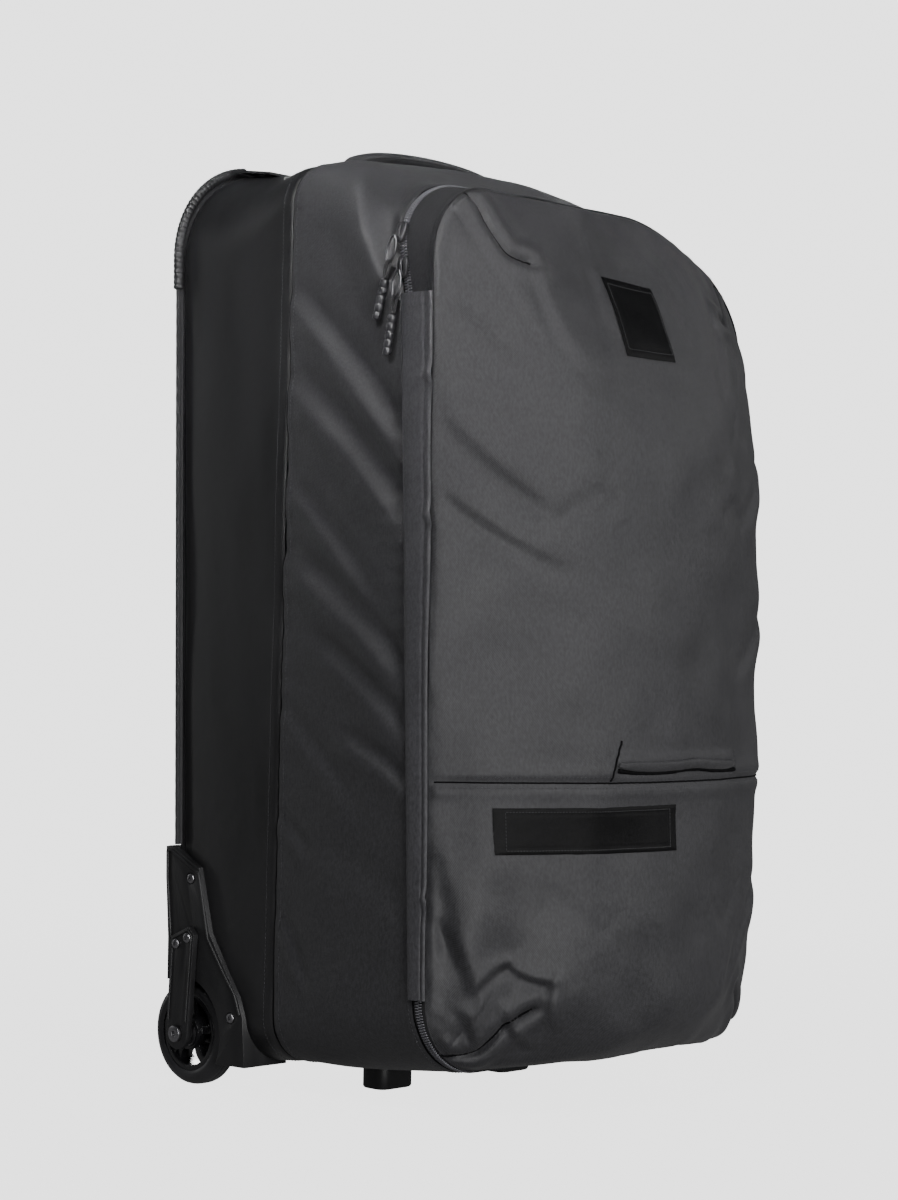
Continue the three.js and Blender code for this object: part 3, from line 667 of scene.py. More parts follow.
def sleeve_look():
    """Clear grey moulded sleeve over a braided cord."""
    look = Look("pull_sleeve", 0.3, specular=0.45)
    smear = look.noise(300, 3)
    look.tones(look.spread(smear, 0, 1), grey(0.012), grey(0.035))
    look.set(Roughness=look.spread(smear, 0.24, 0.42), Coat_Weight=0.15, Coat_Roughness=0.2)
    look.bump(smear, 0.0002, 0.4)
    return look.material


LOOKS = {
    "coated": coated_look(),
    "woven": cloth_look("woven_cloth", 0.017, 1.2, 0.7, 0.57, 0.03, 0.22, 0.45),
    # flap_cloth is the woven cloth made lighter: painted light on the storm flap, which tilts too little
    # to catch the key light.
    "flap": cloth_look("flap_cloth", 0.03, 1.2, 0.7, 0.57, 0.03, 0.22, 0.45),
    "webbing": cloth_look("webbing", 0.012, 1.6, 0.25, 0.7, 0.12, 0.3),
    "tape": cloth_look("zip_tape", 0.014, 0.9, 0.9, 0.66, 0.03, 0.15, 0.3),
    "lining": cloth_look("lining_cloth", 0.07, 0.8, 0.0, 0.66, 0.2, 0.1),
    "patch": cloth_look("patch_cloth", 0.002, 0.7, 0.4, 0.5, 0, 0.1, 0.1),
    # seam_shadow is near-black cloth for painted shadow along seams, darts and the pocket slit.
    "seam": cloth_look("seam_shadow", 0.003, 0.7, 0.4, 0.7, 0, 0.1, 0.05),
    "thread": cloth_look("sewing_thread", 0.022, 0.5, 1.0, 0.6, 0.1, 0.1),
    "coil": plastic_look("zip_coil", 0.09, 0.35, 0.00003),
    "plastic": plastic_look("black_plastic", 0.006, 0.48),
    "rubber": plastic_look("guard_rubber", 0.012, 0.55, 0.00008, 900),
    "gloss": plastic_look("wheel_plastic", 0.006, 0.22, 0.00002),
    "tyre": plastic_look("tyre_urethane", 0.012, 0.42, 0.00018, 700),
    "board": plastic_look("board_plastic", 0.04, 0.6),
    "zip_metal": metal_look("zip_metal", 0.16, 0.3, (1, 1, 1)),
    "steel": metal_look("dark_steel", 0.22, 0.32, (1, 1, 1)),
    "aluminium": metal_look("brushed_aluminium", 0.33, 0.3, (1, 1, 0.02)),
    "sleeve": sleeve_look(),
}


# ---------- openings in the soft panels ----------
# Side view of the corner housing, as (y, z), and the round wheel well in it.
HOUSING_OUTLINE = [
    (184, 40), (184, 126), (188, 180), (188, 204), (183, 205), (145, 188),
    (130, 133), (107, 101), (92.5, 82), (86, 65), (82.5, 24), (150, 23),
]
WELL_RADIUS = 50.5
HOUSING_INNER = 160.5  # distance of the housing's inner face from the middle
WELL_INNER = 156
HIDDEN_EDGE = 2.5  # panels run this far in behind the housing's edge
CUP_HALF_WIDTH = 142


def inside_outline(y, z, points, margin):
    """True where a point is within a counterclockwise outline by more than the margin."""
    corners = np.asarray(points, float)
    crossings = np.zeros(np.shape(y), int)
    for (y0, z0), (y1, z1) in zip(corners, np.roll(corners, -1, 0)):
        spans = (z0 > z) != (z1 > z)
        crossing = y0 + (z - z0) * (y1 - y0) / np.where(z1 == z0, 1, z1 - z0)
        crossings += spans & (y < crossing)
    nearest = path_distance(np.stack([y, z], -1), np.vstack([corners, corners[:1]]))
    return (crossings % 2 == 1) & (nearest > margin)


def kept_faces(grid, wrap, opening):
    """Which faces of a panel stay: those whose middle isn't in the opening."""
    beside = np.roll(grid, -1, 1) if wrap else np.concatenate([grid[:, 1:], grid[:, -1:]], 1)
    middle = (grid[:-1] + grid[1:] + beside[:-1] + beside[1:]) / 4
    return ~opening(middle[..., 0], middle[..., 1], middle[..., 2])


def housing_opening(x, y, z):
    in_block = inside_outline(y, z, HOUSING_OUTLINE, HIDDEN_EDGE) & (np.abs(x) > HOUSING_INNER)
    in_well = (np.hypot(y - AXLE_Y, z - AXLE_Z) < WELL_RADIUS) & (np.abs(x) > WELL_INNER)
    return in_block | in_well


def cup_opening(x, y, z):
    return (np.abs(x) < CUP_HALF_WIDTH) & (y > 138.5) & (y < 174) & (z > MIDDLE_Z)


def band_opening(x, y, z):
    return housing_opening(x, y, z) | cup_opening(x, y, z)


# ---------- sewing ----------
STITCH = bar_template(2.5, 0.75, 0.6, 5, 6, 2)


def add_stitches(piece, path, facing, look=0, pitch=3.4, lift=0.1):
    """A row of stitches along a path."""
    places, along, outwards = spaced(path, pitch, facing)
    piece.copies(STITCH, places + lift * outwards, frames(along, outwards), look)


def seam_shadow_line(piece, path, facing, width):
    """A thin tube of near-black cloth along a seam: painted shadow in the gap where two edges of cloth are
    turned in.
    """
    piece.grid(sweep(path, facing, section_ring(8) * width), wrap=True)


# ---------- soft body ----------
RING = ring_steps(230, 34, 110)
LINER = 0.6  # the lining's share of a panel's wall, left out of the cloth


def depth_rows(count):
    """Rows that crowd towards both edges of a panel, where the seams are."""
    t = np.linspace(0, 1, count)
    return mix(t, smoothstep(t, 0, 1), 0.45)


def coated_band():
    grid = skin_grid(lambda z: rear_face(z) - 0.5, lambda z: band_seam(z) + 0.2, depth_rows(44), RING)
    y, z = grid[..., 1], grid[..., 2]
    behind = rear_face(z) - y
    ahead = y - band_seam(z)
    share = behind / (behind + ahead)
    amount = 1.8 * np.sin(math.pi * share) + ripples(grid, 4, 190, 0.7)
    amount = amount - 2.6 * np.clip(1 - behind / 16, 0, 1) ** 2.2
    amount = amount + seam_relief(ahead, 1.3, 1.5, 0.2)
    amount = amount + puckers(z, ahead, 8, 26, 0.25, 16)
    grid = grid + grid_normals(grid, True) * amount[..., None]
    grid[..., 2] += filled_top(grid[..., 0], y, z)
    piece = Piece("coated_band_cloth")
    piece.shell(grid, WALL - LINER, True, kept_faces(grid, True, band_opening))
    piece.build("bag_body", "coated_fabric", "coated lining", ["coated_side_band"])
    return grid


# Drape folds of the gusset's left side: start and end as (y, z), width, height, bow.
GUSSET_FOLDS = [
    ((4, 772), (-76, 650), 19, 8.0, 5),
    ((-16, 756), (-88, 704), 10, 2.5, 3),
    ((48, 660), (-88, 520), 17, 4.4, 8),
    ((52, 590), (-96, 458), 19, 4.8, 9),
    ((54, 510), (-60, 402), 13, 2.5, 5),
    ((54, 446), (-94, 340), 17, 4.4, 8),
    ((14, 376), (-98, 296), 13, 3.1, 6),
    ((-22, 300), (-104, 256), 11, 3.3, 3),
    ((54, 320), (-40, 236), 12, 1.7, 4),
    ((54, 232), (12, 200), 9, 1.9, 0),
    ((50, 152), (18, 96), 9, 2.0, 0),
    ((10, 200), (-100, 146), 22, 2.0, 4),
]


def gusset_relief(grid):
    x, y, z = grid[..., 0], grid[..., 1], grid[..., 2]
    relief = 0
    for side, lift, scale in ((-1, 0, 1), (1, 31, 0.85)):
        on_side = smoothstep(side * x, 120, 185)
        chart = np.stack([y, z + lift], -1)
        folds = sum(fold(chart, a, b, w, scale * h, bow) for a, b, w, h, bow in GUSSET_FOLDS)
        relief = relief + on_side * folds
    on_top = smoothstep(z, 700, 745) * (1 - smoothstep(np.abs(x), 120, 190))
    return relief + on_top * ripples(grid, 21, 90, 1)


def front_gusset():
    grid = skin_grid(lambda z: band_seam(z) - 0.2, gusset_edge, depth_rows(76), RING)
    x, y, z = grid[..., 0], grid[..., 1], grid[..., 2]
    behind = band_seam(z) - y
    ahead = y - gusset_edge(z)
    share = behind / (behind + ahead)
    edge = np.minimum(behind, ahead)
    edge[0], edge[-1] = 0, 0
    moves = settled(grid, edge, True, 1.2, 0.06, 5)
    amount = 2.6 * np.sin(math.pi * share) + gusset_relief(grid) + ripples(grid, 5, 70, 0.45)
    amount = amount + seam_relief(behind, 1.6, 1.6, 0.5) + seam_relief(ahead, 1.2, 1.8, 0.7)
    amount = amount + puckers(z + x, ahead, 3, 17, 0.7, 14) + puckers(z - x, behind, 6, 23, 0.55, 16)
    grid = grid + moves + grid_normals(grid, True) * amount[..., None]
    grid[..., 2] += filled_top(grid[..., 0], y, z)
    # Beside the hinge the cloth stays flat, so that the opened lid lies clear of it.
    limit = HALF_WIDTH + 1.2 + 0.09 * (grid[..., 1] + 110)
    softness = 1.5
    grid[..., 0] = limit - softness * np.logaddexp(0, (limit - grid[..., 0]) / softness)
    grid = slumped(grid)
    piece = Piece("front_gusset_cloth")
    piece.shell(grid, WALL - LINER, True)
    piece.build("bag_body", "woven_fabric", "woven lining", ["front_gusset"])
    return grid


def square_to_panel(i, j, half, low, top, low_radius, top_radius):
    """Spreads the square -1..1 over a rounded rectangle, so that a panel's grid follows its edge."""
    ring = np.maximum(np.maximum(np.abs(i), np.abs(j)), 1e-9)
    middle, tall = (low + top) / 2, (top - low) / 2
    radius = np.where(j > 0, top_radius, low_radius)
    x, z = half * i / ring, tall * j / ring
    past_x, past_z = np.abs(x) - (half - radius), np.abs(z) - (tall - radius)
    turn = np.where(np.abs(i) >= np.abs(j), past_z, 2 * radius - past_x) / (2 * radius) * math.pi / 2
    in_corner = (past_x > 0) & (past_z > 0)
    edge_x = np.where(in_corner, np.sign(i) * (half - radius + radius * np.cos(turn)), x)
    edge_z = np.where(in_corner, np.sign(j) * (tall - radius + radius * np.sin(turn)), z)
    weight = ring**3
    return mix(half * i, ring * edge_x, weight), middle + mix(tall * j, ring * edge_z, weight)


def crowded_ends(start, end, count):
    """Places from start to end (-1 or 1) that lie closer together towards both."""
    t = np.linspace(start, end, count)
    return mix(t, np.sin(t * math.pi / 2), 0.35)


def panel_square(columns, rows):
    """Grid places over a panel: across -1..1, up from 1 to -1."""
    return np.meshgrid(crowded_ends(-1, 1, columns), crowded_ends(1, -1, rows))


# The stitched frame on the back panel, as (x, z).
BACK_FRAME = [(-62, 150), (62, 150), (62, 690), (-62, 690), (-62, 150)]


def back_panel():
    i, j = panel_square(110, 190)
    y_mid = rear_face(MIDDLE_Z)
    low_radius, top_radius = corner_radii(y_mid)
    x, z = square_to_panel(i, j, HALF_WIDTH - 1, skin_floor(y_mid) + 1, skin_top(y_mid) - 1,
                           low_radius, top_radius)
    edge = np.minimum(1 - np.abs(i), 1 - np.abs(j)) * 190
    # Flat foam with two shallow channels over the trolley tubes.
    channels = sum(bell(x, side * TUBE_X, 16) for side in SIDES.values())
    to_frame = path_distance(np.stack([x, z], -1), BACK_FRAME)
    y = rear_face(z) + 3.2 * smoothstep(edge, 0, 22) - 1.6 * channels
    y = y + seam_relief(to_frame, 1.6, 2, 0.8)
    grid = np.stack([x, y, z], -1)
    grid[..., 1] += ripples(grid, 12, 130, 0.5) * smoothstep(edge, 0, 20)
    grid = grid[:, ::-1]
    piece = Piece("back_panel_cloth")
    piece.shell(grid, WALL - 0.5, False, kept_faces(grid, False, housing_opening))
    piece.build("bag_body", "coated_fabric", "coated lining", ["back_panel"])


# ---------- lid ----------
LID_TOP = skin_top(lid_seam(750))
LID_FLOOR = skin_floor(lid_seam(40))
PANEL_SEAM = 273  # height of the seam across the lid
SLIT_Z = 281  # the slit pocket just above that seam
SLIT_ENDS = (-68, 98)
# Curved corner darts of the lid, as (distance from the centre plane, z), from the edge inwards.
UPPER_DART = [(170, 746), (158, 732), (154, 719), (147, 704), (140, 693), (122, 687)]
LOWER_DART = [(182, 56), (170, 54), (158, 58), (151, 68), (143, 81), (127, 93)]
# The soft keel where the lid's left flank turns into its front, as (distance left of the middle, z).
KEEL = [(104, 60), (100, 110), (88, 230), (80, 330), (92, 430), (100, 560), (128, 690)]
# Creases of the lid: start and end as (x, z), width, height, bow.
LID_FOLDS = [
    ((-199, 578), (-108, 488), 12, 2.6, 5),
    ((-197, 514), (-104, 446), 11, 2.4, 5),
    ((-188, 668), (-122, 600), 11, 1.8, 6),
    ((-198, 236), (-176, 122), 11, 2.8, -6),
    ((-190, 170), (-164, 96), 7, 2.4, -3),
    ((-176, 104), (-145, 134), 6, 2.8, -4),
    ((-148, 134), (-112, 116), 6, 2.6, 4),
    ((-114, 122), (-108, 76), 6, 2.6, 3),
    ((-176, 96), (-160, 62), 5.5, 2.2, -2),
    ((-150, 100), (-134, 64), 5, 1.9, -2),
    ((-140, 84), (-118, 60), 4.5, 1.6, 2),
    ((-118, 704), (-96, 610), 11, 1.3, 4),
    ((-40, 726), (-52, 640), 13, 1.3, 4),
    ((46, 722), (66, 632), 13, 1.5, -4),
    ((120, 700), (94, 600), 12, 1.7, -4),
    ((186, 560), (116, 480), 12, 2.0, -5),
    ((184, 420), (110, 352), 12, 1.8, -5),
    ((180, 180), (96, 90), 12, 2.0, 6),
]


def lid_share(x, z):
    """How far towards the crown the nested loop through a point lies, 0 at the seam."""
    low, high = np.zeros_like(x), np.ones_like(x)
    for _ in range(26):
        share = (low + high) / 2
        # The loops shrink evenly to the flat front, and faster beyond it.
        flat = 0.86
        half = HALF_WIDTH - np.where(share < flat, 126 * share, 108.4 + 650 * (share - flat))
        top = LID_TOP - 248 * (1 - np.sqrt(1 - share))
        floor = LID_FLOOR + 66 * (1 - np.sqrt(1 - share**2.4))
        upper = z > (top + floor) / 2
        radius = np.minimum(np.where(upper, 62 + 20 * share, 60 + 10 * share), half - 1)
        beyond_x = np.abs(x) - (half - radius)
        beyond_z = np.where(upper, z - (top - radius), (floor + radius) - z)
        corner = np.hypot(np.maximum(beyond_x, 0), np.maximum(beyond_z, 0))
        within = (corner <= radius) & (np.abs(x) <= half) & (z <= top) & (z >= floor)
        low, high = np.where(within, share, low), np.where(within, high, share)
    return low


def relaxed(height, rounds):
    """Smooths a height field a little, its edges held."""
    for _ in range(rounds):
        inner = height[1:-1, 1:-1]
        around = height[:-2, 1:-1] + height[2:, 1:-1] + height[1:-1, :-2] + height[1:-1, 2:]
        height = height.copy()
        height[1:-1, 1:-1] = 0.5 * inner + 0.125 * around
    return height


def lid_relief(x, z, edge, grid):
    chart = np.stack([x, z], -1)
    mirrored = np.stack([np.abs(x), z], -1)
    relief = sum(fold(chart, a, b, w, h, bow) for a, b, w, h, bow in LID_FOLDS)
    relief = relief * smoothstep(edge, 0, 14)
    for dart in (UPPER_DART, LOWER_DART):
        pinch = seam_relief(path_distance(mirrored, curve(dart, 40)), 4.6, 2.4, 3.2)
        relief = relief + pinch * smoothstep(edge, -2, 6)
    # A fuller strip up the left flank.
    relief = relief + 9 * bell(x, -166, 17) * between(z, 60, 100, 150, 300)
    # The right flank is filled further out than the left one.
    relief = relief + 10 * bell(x, 160, 40) * between(z, 30, 150, 500, 700)
    keel_x, keel_z = zip(*KEEL)
    beside = np.abs(x + np.interp(z, keel_z, keel_x))
    keel = np.exp(-np.hypot(beside, 5) / 34) * between(z, 60, 110, 640, 720)
    relief = relief + mix(7.5, 3.5, smoothstep(z, 220, 420)) * keel
    relief = relief + seam_relief(np.abs(z - PANEL_SEAM), 2, 1.9, 1.5)
    relief = relief + puckers(x, np.abs(z - PANEL_SEAM), 31, 29, 0.55, 14)
    relief = relief + puckers(np.where(np.abs(x) > 150, z, x), edge, 33, 26, 0.7, 11)
    relief = relief + ripples(grid, 35, 120, 1.3) + ripples(grid, 36, 45, 0.45)
    slit = bell(z, 291, 5) - 1.2 * bell(z, SLIT_Z, 3)
    return relief + 2.2 * slit * between(x, -74, -60, 84, 104)


def slumped(points):
    """The unfilled bag sinks at its upper right front corner."""
    x, y, z = points[..., 0], points[..., 1], points[..., 2]
    points = points.copy()
    forwards = smoothstep(-y, -50, 95)
    points[..., 2] -= 42 * smoothstep(x, 30, 200) * smoothstep(z, 480, 745) * forwards
    points[..., 0] -= 12 * smoothstep(x, 60, 200) * smoothstep(z, 560, 735) * forwards
    return points


class Lid:
    """The lid's cloth: its grid, and the flat chart of x and z that it was made from."""

    def __init__(self):
        i, j = panel_square(163, 286)
        x, z = square_to_panel(i, j, HALF_WIDTH, LID_FLOOR, LID_TOP, 61.5, 60.7)
        y = relaxed(mix(lid_seam(z), CROWN_Y, lid_share(x, z)), 14)
        grid = np.stack([x, y, z], -1)[:, ::-1]
        x, z = x[:, ::-1], z[:, ::-1]
        edge = np.minimum(1 - np.abs(i), (1 - np.abs(j)) * 1.7) * 200
        moves = settled(grid, edge, False, 0.8, 0.06, 5)
        amount = lid_relief(x, z, edge, grid) * smoothstep(edge, 0, 5) + seam_relief(edge, 1.5, 2.0, 0.6)
        grid = grid + moves + lid_normals(grid) * amount[..., None]
        # The filling never bulges far past the crown.
        grid[..., 1] = np.maximum(grid[..., 1], CROWN_Y - 6)
        self.grid = slumped(grid)
        self.chart = np.stack([x, z], -1).reshape(-1, 2)
        self.normals = lid_normals(self.grid).reshape(-1, 3)

    def at(self, x, z):
        """Places on the cloth and its outward normals, for places on the chart."""
        wanted = np.stack(np.broadcast_arrays(x, z), -1)
        places, facing = [], []
        for spot in wanted.reshape(-1, 2):
            distance = np.hypot(*(self.chart - spot).T)
            near = np.argpartition(distance, 6)[:6]
            weight = 1 / (distance[near] ** 2 + 0.3)
            weight = (weight / weight.sum())[:, None]
            places.append((self.grid.reshape(-1, 3)[near] * weight).sum(0))
            facing.append((self.normals[near] * weight).sum(0))
        shape = wanted.shape[:-1] + (3,)
        return np.array(places).reshape(shape), unit(np.array(facing)).reshape(shape)

    def build(self):
        piece = Piece("lid_cloth")
        piece.shell(self.grid, WALL - 0.5, uv=self.grid[..., [0, 2]] * MM)
        piece.build("lid", "woven_fabric", "woven lining", ["lid_shell"])


def lid_normals(grid):
    """Normals of a lid grid, which face forwards."""
    normals = grid_normals(grid)
    return normals * -np.sign(normals[len(grid) // 2, grid.shape[1] // 2, 1])


def both_sides(path):
    """A path over the lid and its mirror image."""
    return [path * [side, 1] for side in SIDES.values()]


def slit_line(z):
    """The gently waving line of the slit pocket, at about the given height."""
    x = np.linspace(*SLIT_ENDS, 80)
    return np.stack([x, z + 1.2 * np.sin(x / 17)], -1)


def lid_seam_shadows(cloth):
    # Thin near-black tubes of painted shadow along the cross seam, the darts and the pocket slit.
    piece = Piece("lid_seam_shadows")
    rows = [(curve([(-196, PANEL_SEAM), (196, PANEL_SEAM)], 200), 0.7)]
    for dart in (UPPER_DART, LOWER_DART):
        rows += [(path, 0.9) for path in both_sides(curve(dart, 60))]
    rows.append((curve([(-64, 307), (-69, 292), (-74, 274)], 20), 0.9))
    rows.append((slit_line(SLIT_Z + 0.4), 1.9))
    for chart_path, width in rows:
        path, facing = cloth.at(*chart_path.T)
        seam_shadow_line(piece, path, facing, width)
    piece.build("lid", "woven_fabric", "seam", facing=True)


def lid_stitching(cloth):
    piece = Piece("lid_stitching")
    offset = 4.5
    rows = [curve([(-186, z), (180, z)], 120) for z in (PANEL_SEAM - offset, PANEL_SEAM + offset)]
    for dart in (UPPER_DART, LOWER_DART):
        rows += both_sides(curve([(x - offset, z) for x, z in dart], 40)[4:])
    for points in ([(-60, 308), (-68, 294), (-73, 279)], [(100, 278), (101, 288), (101, 298)]):
        rows.append(curve(points, 12))
    for chart_path in rows:
        path, facing = cloth.at(*chart_path.T)
        add_stitches(piece, path, facing)
    piece.build("lid", "woven_fabric", "thread")


def lid_patch(cloth, name, corners, thickness, grooves):
    """A plain patch sewn on the lid: corners in order round, as (x, z), and the grooves of its
    frame, by their distance from its edge."""
    (x0, z0), (x1, z1), (x2, z2), (x3, z3) = corners
    rows, cols = 24, 40
    u, v = np.meshgrid(np.linspace(0, 1, cols), np.linspace(0, 1, rows))
    x = mix(mix(x0, x1, u), mix(x3, x2, u), v)
    z = mix(mix(z0, z1, u), mix(z3, z2, u), v)
    place, facing = cloth.at(x, z)
    for _ in range(3):
        place[1:-1, 1:-1] = (place[:-2, 1:-1] + place[2:, 1:-1] + place[1:-1, :-2] + place[1:-1, 2:]) / 4
    edge = np.minimum(np.minimum(u, 1 - u) * abs(x1 - x0), np.minimum(v, 1 - v) * abs(z3 - z0))
    lift = mix(0.1, thickness, smoothstep(edge, -0.5, 2.0)) + 0.5
    for at in grooves:
        lift = lift - 0.35 * bell(edge, at, 0.9)
    grid = place + facing * lift[..., None]
    if grid_normals(grid)[rows // 2, cols // 2, 1] > 0:
        grid = grid[:, ::-1]
    piece = Piece(name)
    piece.shell(grid, 0.5, looks=(0, 0))
    inset = 2
    ring = [grid[inset, inset:-inset], grid[inset:-inset, -1 - inset],
            grid[-1 - inset, inset:-inset][::-1], grid[inset:-inset, inset][::-1]]
    forwards = grid_normals(grid)[rows // 2, cols // 2]
    for path in ring:
        add_stitches(piece, path, np.broadcast_to(forwards, path.shape), 1, 2.6)
    piece.build("lid", "trim_webbing", "patch webbing")


def pocket_welt(cloth):
    """The folded lip that closes the slit pocket."""
    path, facing = cloth.at(*slit_line(SLIT_Z + 5.5).T)
    ends = np.sqrt(np.clip(1 - np.abs(np.linspace(-1, 1, 80)) ** 8, 0.02, 1))
    section = section_ring(14, 2.4) * [4.4, 1.7]
    piece = Piece("pocket_welt")
    piece.grid(sweep(path + 0.9 * facing, facing, section, ends), wrap=True)
    piece.build("lid", "woven_fabric", "woven", facing=True)


# ---------- zip ----------
ZIP_SPAN = (0.93, 8.07)  # the teeth run all round except along the hinge on the right side
TAPE_WALL = 1
TAPE_INSET = 0.9  # the tapes lie this far inside the skin
TOOTH_PITCH = 2.3
TOOTH_REACH = 1.7  # from the zip's middle line to a tooth's centre


def zip_tapes():
    s = np.linspace(*ZIP_SPAN, 620)
    rows = depth_rows(16)
    body_rows = depth_rows(6)
    body = skin_grid(lambda z: gusset_edge(z) - 0.1, lambda z: zip_line(z) + 0.3, body_rows, s, TAPE_INSET)
    lid_tape = skin_grid(lambda z: zip_line(z) - 0.3, lambda z: lid_seam(z) + 0.2, rows, s, TAPE_INSET)
    ahead = lid_tape[..., 1] - lid_seam(lid_tape[..., 2])
    amount = 1.1 * bell(ahead, 0, 5) - 0.5 * bell(ahead, 5.5, 1.1)
    amount = amount + ripples(lid_tape, 41, 60, 0.35) * smoothstep(rows, 0.1, 0.4)[:, None]
    body, lid_tape = slumped(body), slumped(lid_tape + grid_normals(lid_tape) * amount[..., None])
    for name, body_name, grid, node in (
        ("zip_tape_body_cloth", "bag_body", body, "zipper_tape_body"),
        ("zip_tape_lid_cloth", "lid", lid_tape, "zipper_tape_lid"),
    ):
        piece = Piece(name)
        piece.shell(grid, TAPE_WALL, looks=(0, 0))
        piece.build(body_name, "trim_webbing", "tape", [node])


def zip_teeth():
    s = np.linspace(*ZIP_SPAN, 1400)
    rim = slumped(skin_grid(zip_line, zip_line, [0], s, 0.4)[0])
    inner = slumped(skin_grid(zip_line, zip_line, [0], s, 3.4)[0])
    places, along, facing = spaced(rim, TOOTH_PITCH / 2, unit(rim - inner))
    axes = np.stack([unit(np.cross(along, facing)), along, facing], 1)
    tooth = bar_template(4.6, 1.25, 1.9, 6, 8, 2.6)
    rows = (("zip_teeth_body", "bag_body", 1), ("zip_teeth_lid", "lid", -1))
    for index, (name, body, toward) in enumerate(rows):
        # Each tooth reaches from its own tape just past the zip's middle line.
        shift = np.array([0, TOOTH_REACH * toward, 0]) + 0.35 * facing[index::2]
        piece = Piece(name)
        piece.copies(tooth, places[index::2] + shift, axes[index::2])
        piece.build(body, "trim_webbing", "coil", facing=True)


def lid_hinge():
    """The cloth hinge along the right side, between the body and the lid."""
    side, rows = np.linspace(0, 1, 150), np.linspace(0, 1, 22)
    grid = skin_grid(lambda z: gusset_edge(z) - 0.1, lambda z: lid_seam(z) + 0.2, rows, side, TAPE_INSET)
    grid = slumped(grid + grid_normals(grid) * ripples(grid, 44, 60, 0.4)[..., None])
    piece = Piece("lid_hinge_cloth")
    piece.shell(grid, TAPE_WALL, looks=(0, 0))
    hinge = piece.build(None, "trim_webbing", "tape")
    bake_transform(hinge)


def storm_flap():
    """The flap sewn along the gusset's edge, folded at its lip and lying over the zip."""
    top, bottom = 659, 101
    z = np.linspace(top, bottom, 260)
    across = np.linspace(0, 1, 30)[:, None]
    y = mix(gusset_edge(z) + 4, lid_seam(z) - 1.2, across)
    y = y + ripples(np.stack([0 * z, 0 * z, z], -1), 51, 150, 0.8) * across
    lift = 2.7 + 3.4 * np.sin(math.pi * np.minimum(across * 1.05, 1) ** 0.62) ** 0.9 + 0 * z
    lift = lift + puckers(z, (1 - across) * 22, 52, 34, 0.55, 12) + puckers(z, across * 22, 53, 27, 0.4, 9)
    # Three gathers and the thicker folded lip along the front edge.
    for at in (588, 478, 176):
        above = z - at - 14 * (across - 0.5)
        lift = lift + (1.5 * bell(above, 0, 5) - 1.2 * bell(above, -9, 6)) * smoothstep(across, 0.3, 0.9)
    lift = lift + 0.9 * bell(across, 0.93, 0.06) - 0.7 * bell(across, 0.8, 0.03)
    lift = lift - 2.2 * np.clip(across - 0.965, 0, 1) / 0.035 * 0.6
    lift = np.maximum(lift, 2.0)
    lift = mix(lift, -2.2, np.exp(-across / 0.045))
    grid = np.stack([-HALF_WIDTH - lift, y, z + 0 * across], -1)
    if grid_normals(grid)[15, 100, 0] > 0:
        grid = grid[:, ::-1]
    piece = Piece("storm_flap_cloth")
    piece.shell(grid, 1.3, looks=(0, 0))
    # The flap takes the lighter copy of the woven cloth, painted light in place of the key light it
    # doesn't catch.
    piece.build("bag_body", "woven_fabric", "flap", ["storm_flap"])


# ---------- sliders and pulls ----------
UPPER_PARK = 708  # heights where the sliders are parked
LOWER_PARK = 680
SLIDER_X = -203.3
PULL_X = -208.4
PULL_DROP = 3  # from a slider's middle to its pull's pivot


def turned_about_x(points, angle):
    x, y, z = np.moveaxis(points, -1, 0)
    cos, sin = math.cos(angle), math.sin(angle)
    return np.stack([x, y * cos - z * sin, y * sin + z * cos], -1)


def turned_about_y(points, angle):
    x, y, z = np.moveaxis(points, -1, 0)
    cos, sin = math.cos(angle), math.sin(angle)
    return np.stack([x * cos + z * sin, y, z * cos - x * sin], -1)


def slider_parts():
    """A slider about the zip line, 200 mm out: a shield-shaped plate with a bridge for the pull."""
    plate = rounded_block((17, 10.5, 3.0), 3.2, 0.8)
    waist = 1 - 0.22 * smoothstep(-plate[..., 0], -2, 8)
    plate = plate * np.stack([np.ones_like(waist), waist, np.ones_like(waist)], -1)
    arch = curve([(6.2, 0, 0.6), (5.4, 0, 2.6), (1, 0, 3.3), (-4.4, 0, 2.7), (-5.4, 0, 0.6)], 20)
    section = section_ring(12, 3) * [1.5, 0.75]
    bridge = sweep(arch, (0, 0, 1), section)
    parts = []
    for grid in (plate, bridge):
        # Local x runs up the zip, local z points away from the bag.
        parts.append(np.stack([SLIDER_X - grid[..., 2], grid[..., 1], grid[..., 0]], -1))
    return parts


def sliders():
    upper_y = zip_line(UPPER_PARK)
    _, radius = corner_radii(upper_y)
    centre = np.array([-(HALF_WIDTH - radius), upper_y, skin_top(upper_y) - radius])
    turn = math.asin((UPPER_PARK - centre[2]) / radius)
    upper, lower = Piece("slider_upper_metal"), Piece("slider_lower_metal")
    for grid in slider_parts():
        local = grid + [HALF_WIDTH - radius, 0, 0]
        upper.grid(turned_about_y(local, turn) + centre, wrap=True)
        lower.grid(grid + [0, zip_line(LOWER_PARK), LOWER_PARK], wrap=True)
    upper.build("slider_upper", "zip_metal", "zip_metal", ["zipper_slider_upper"], True, 40)
    lower.build("slider_lower", "zip_metal", "zip_metal", ["zipper_slider_lower"], True, 40)
    pull("upper", upper_y, UPPER_PARK - PULL_DROP, 16)
    pull("lower", zip_line(LOWER_PARK), LOWER_PARK - PULL_DROP, 10)


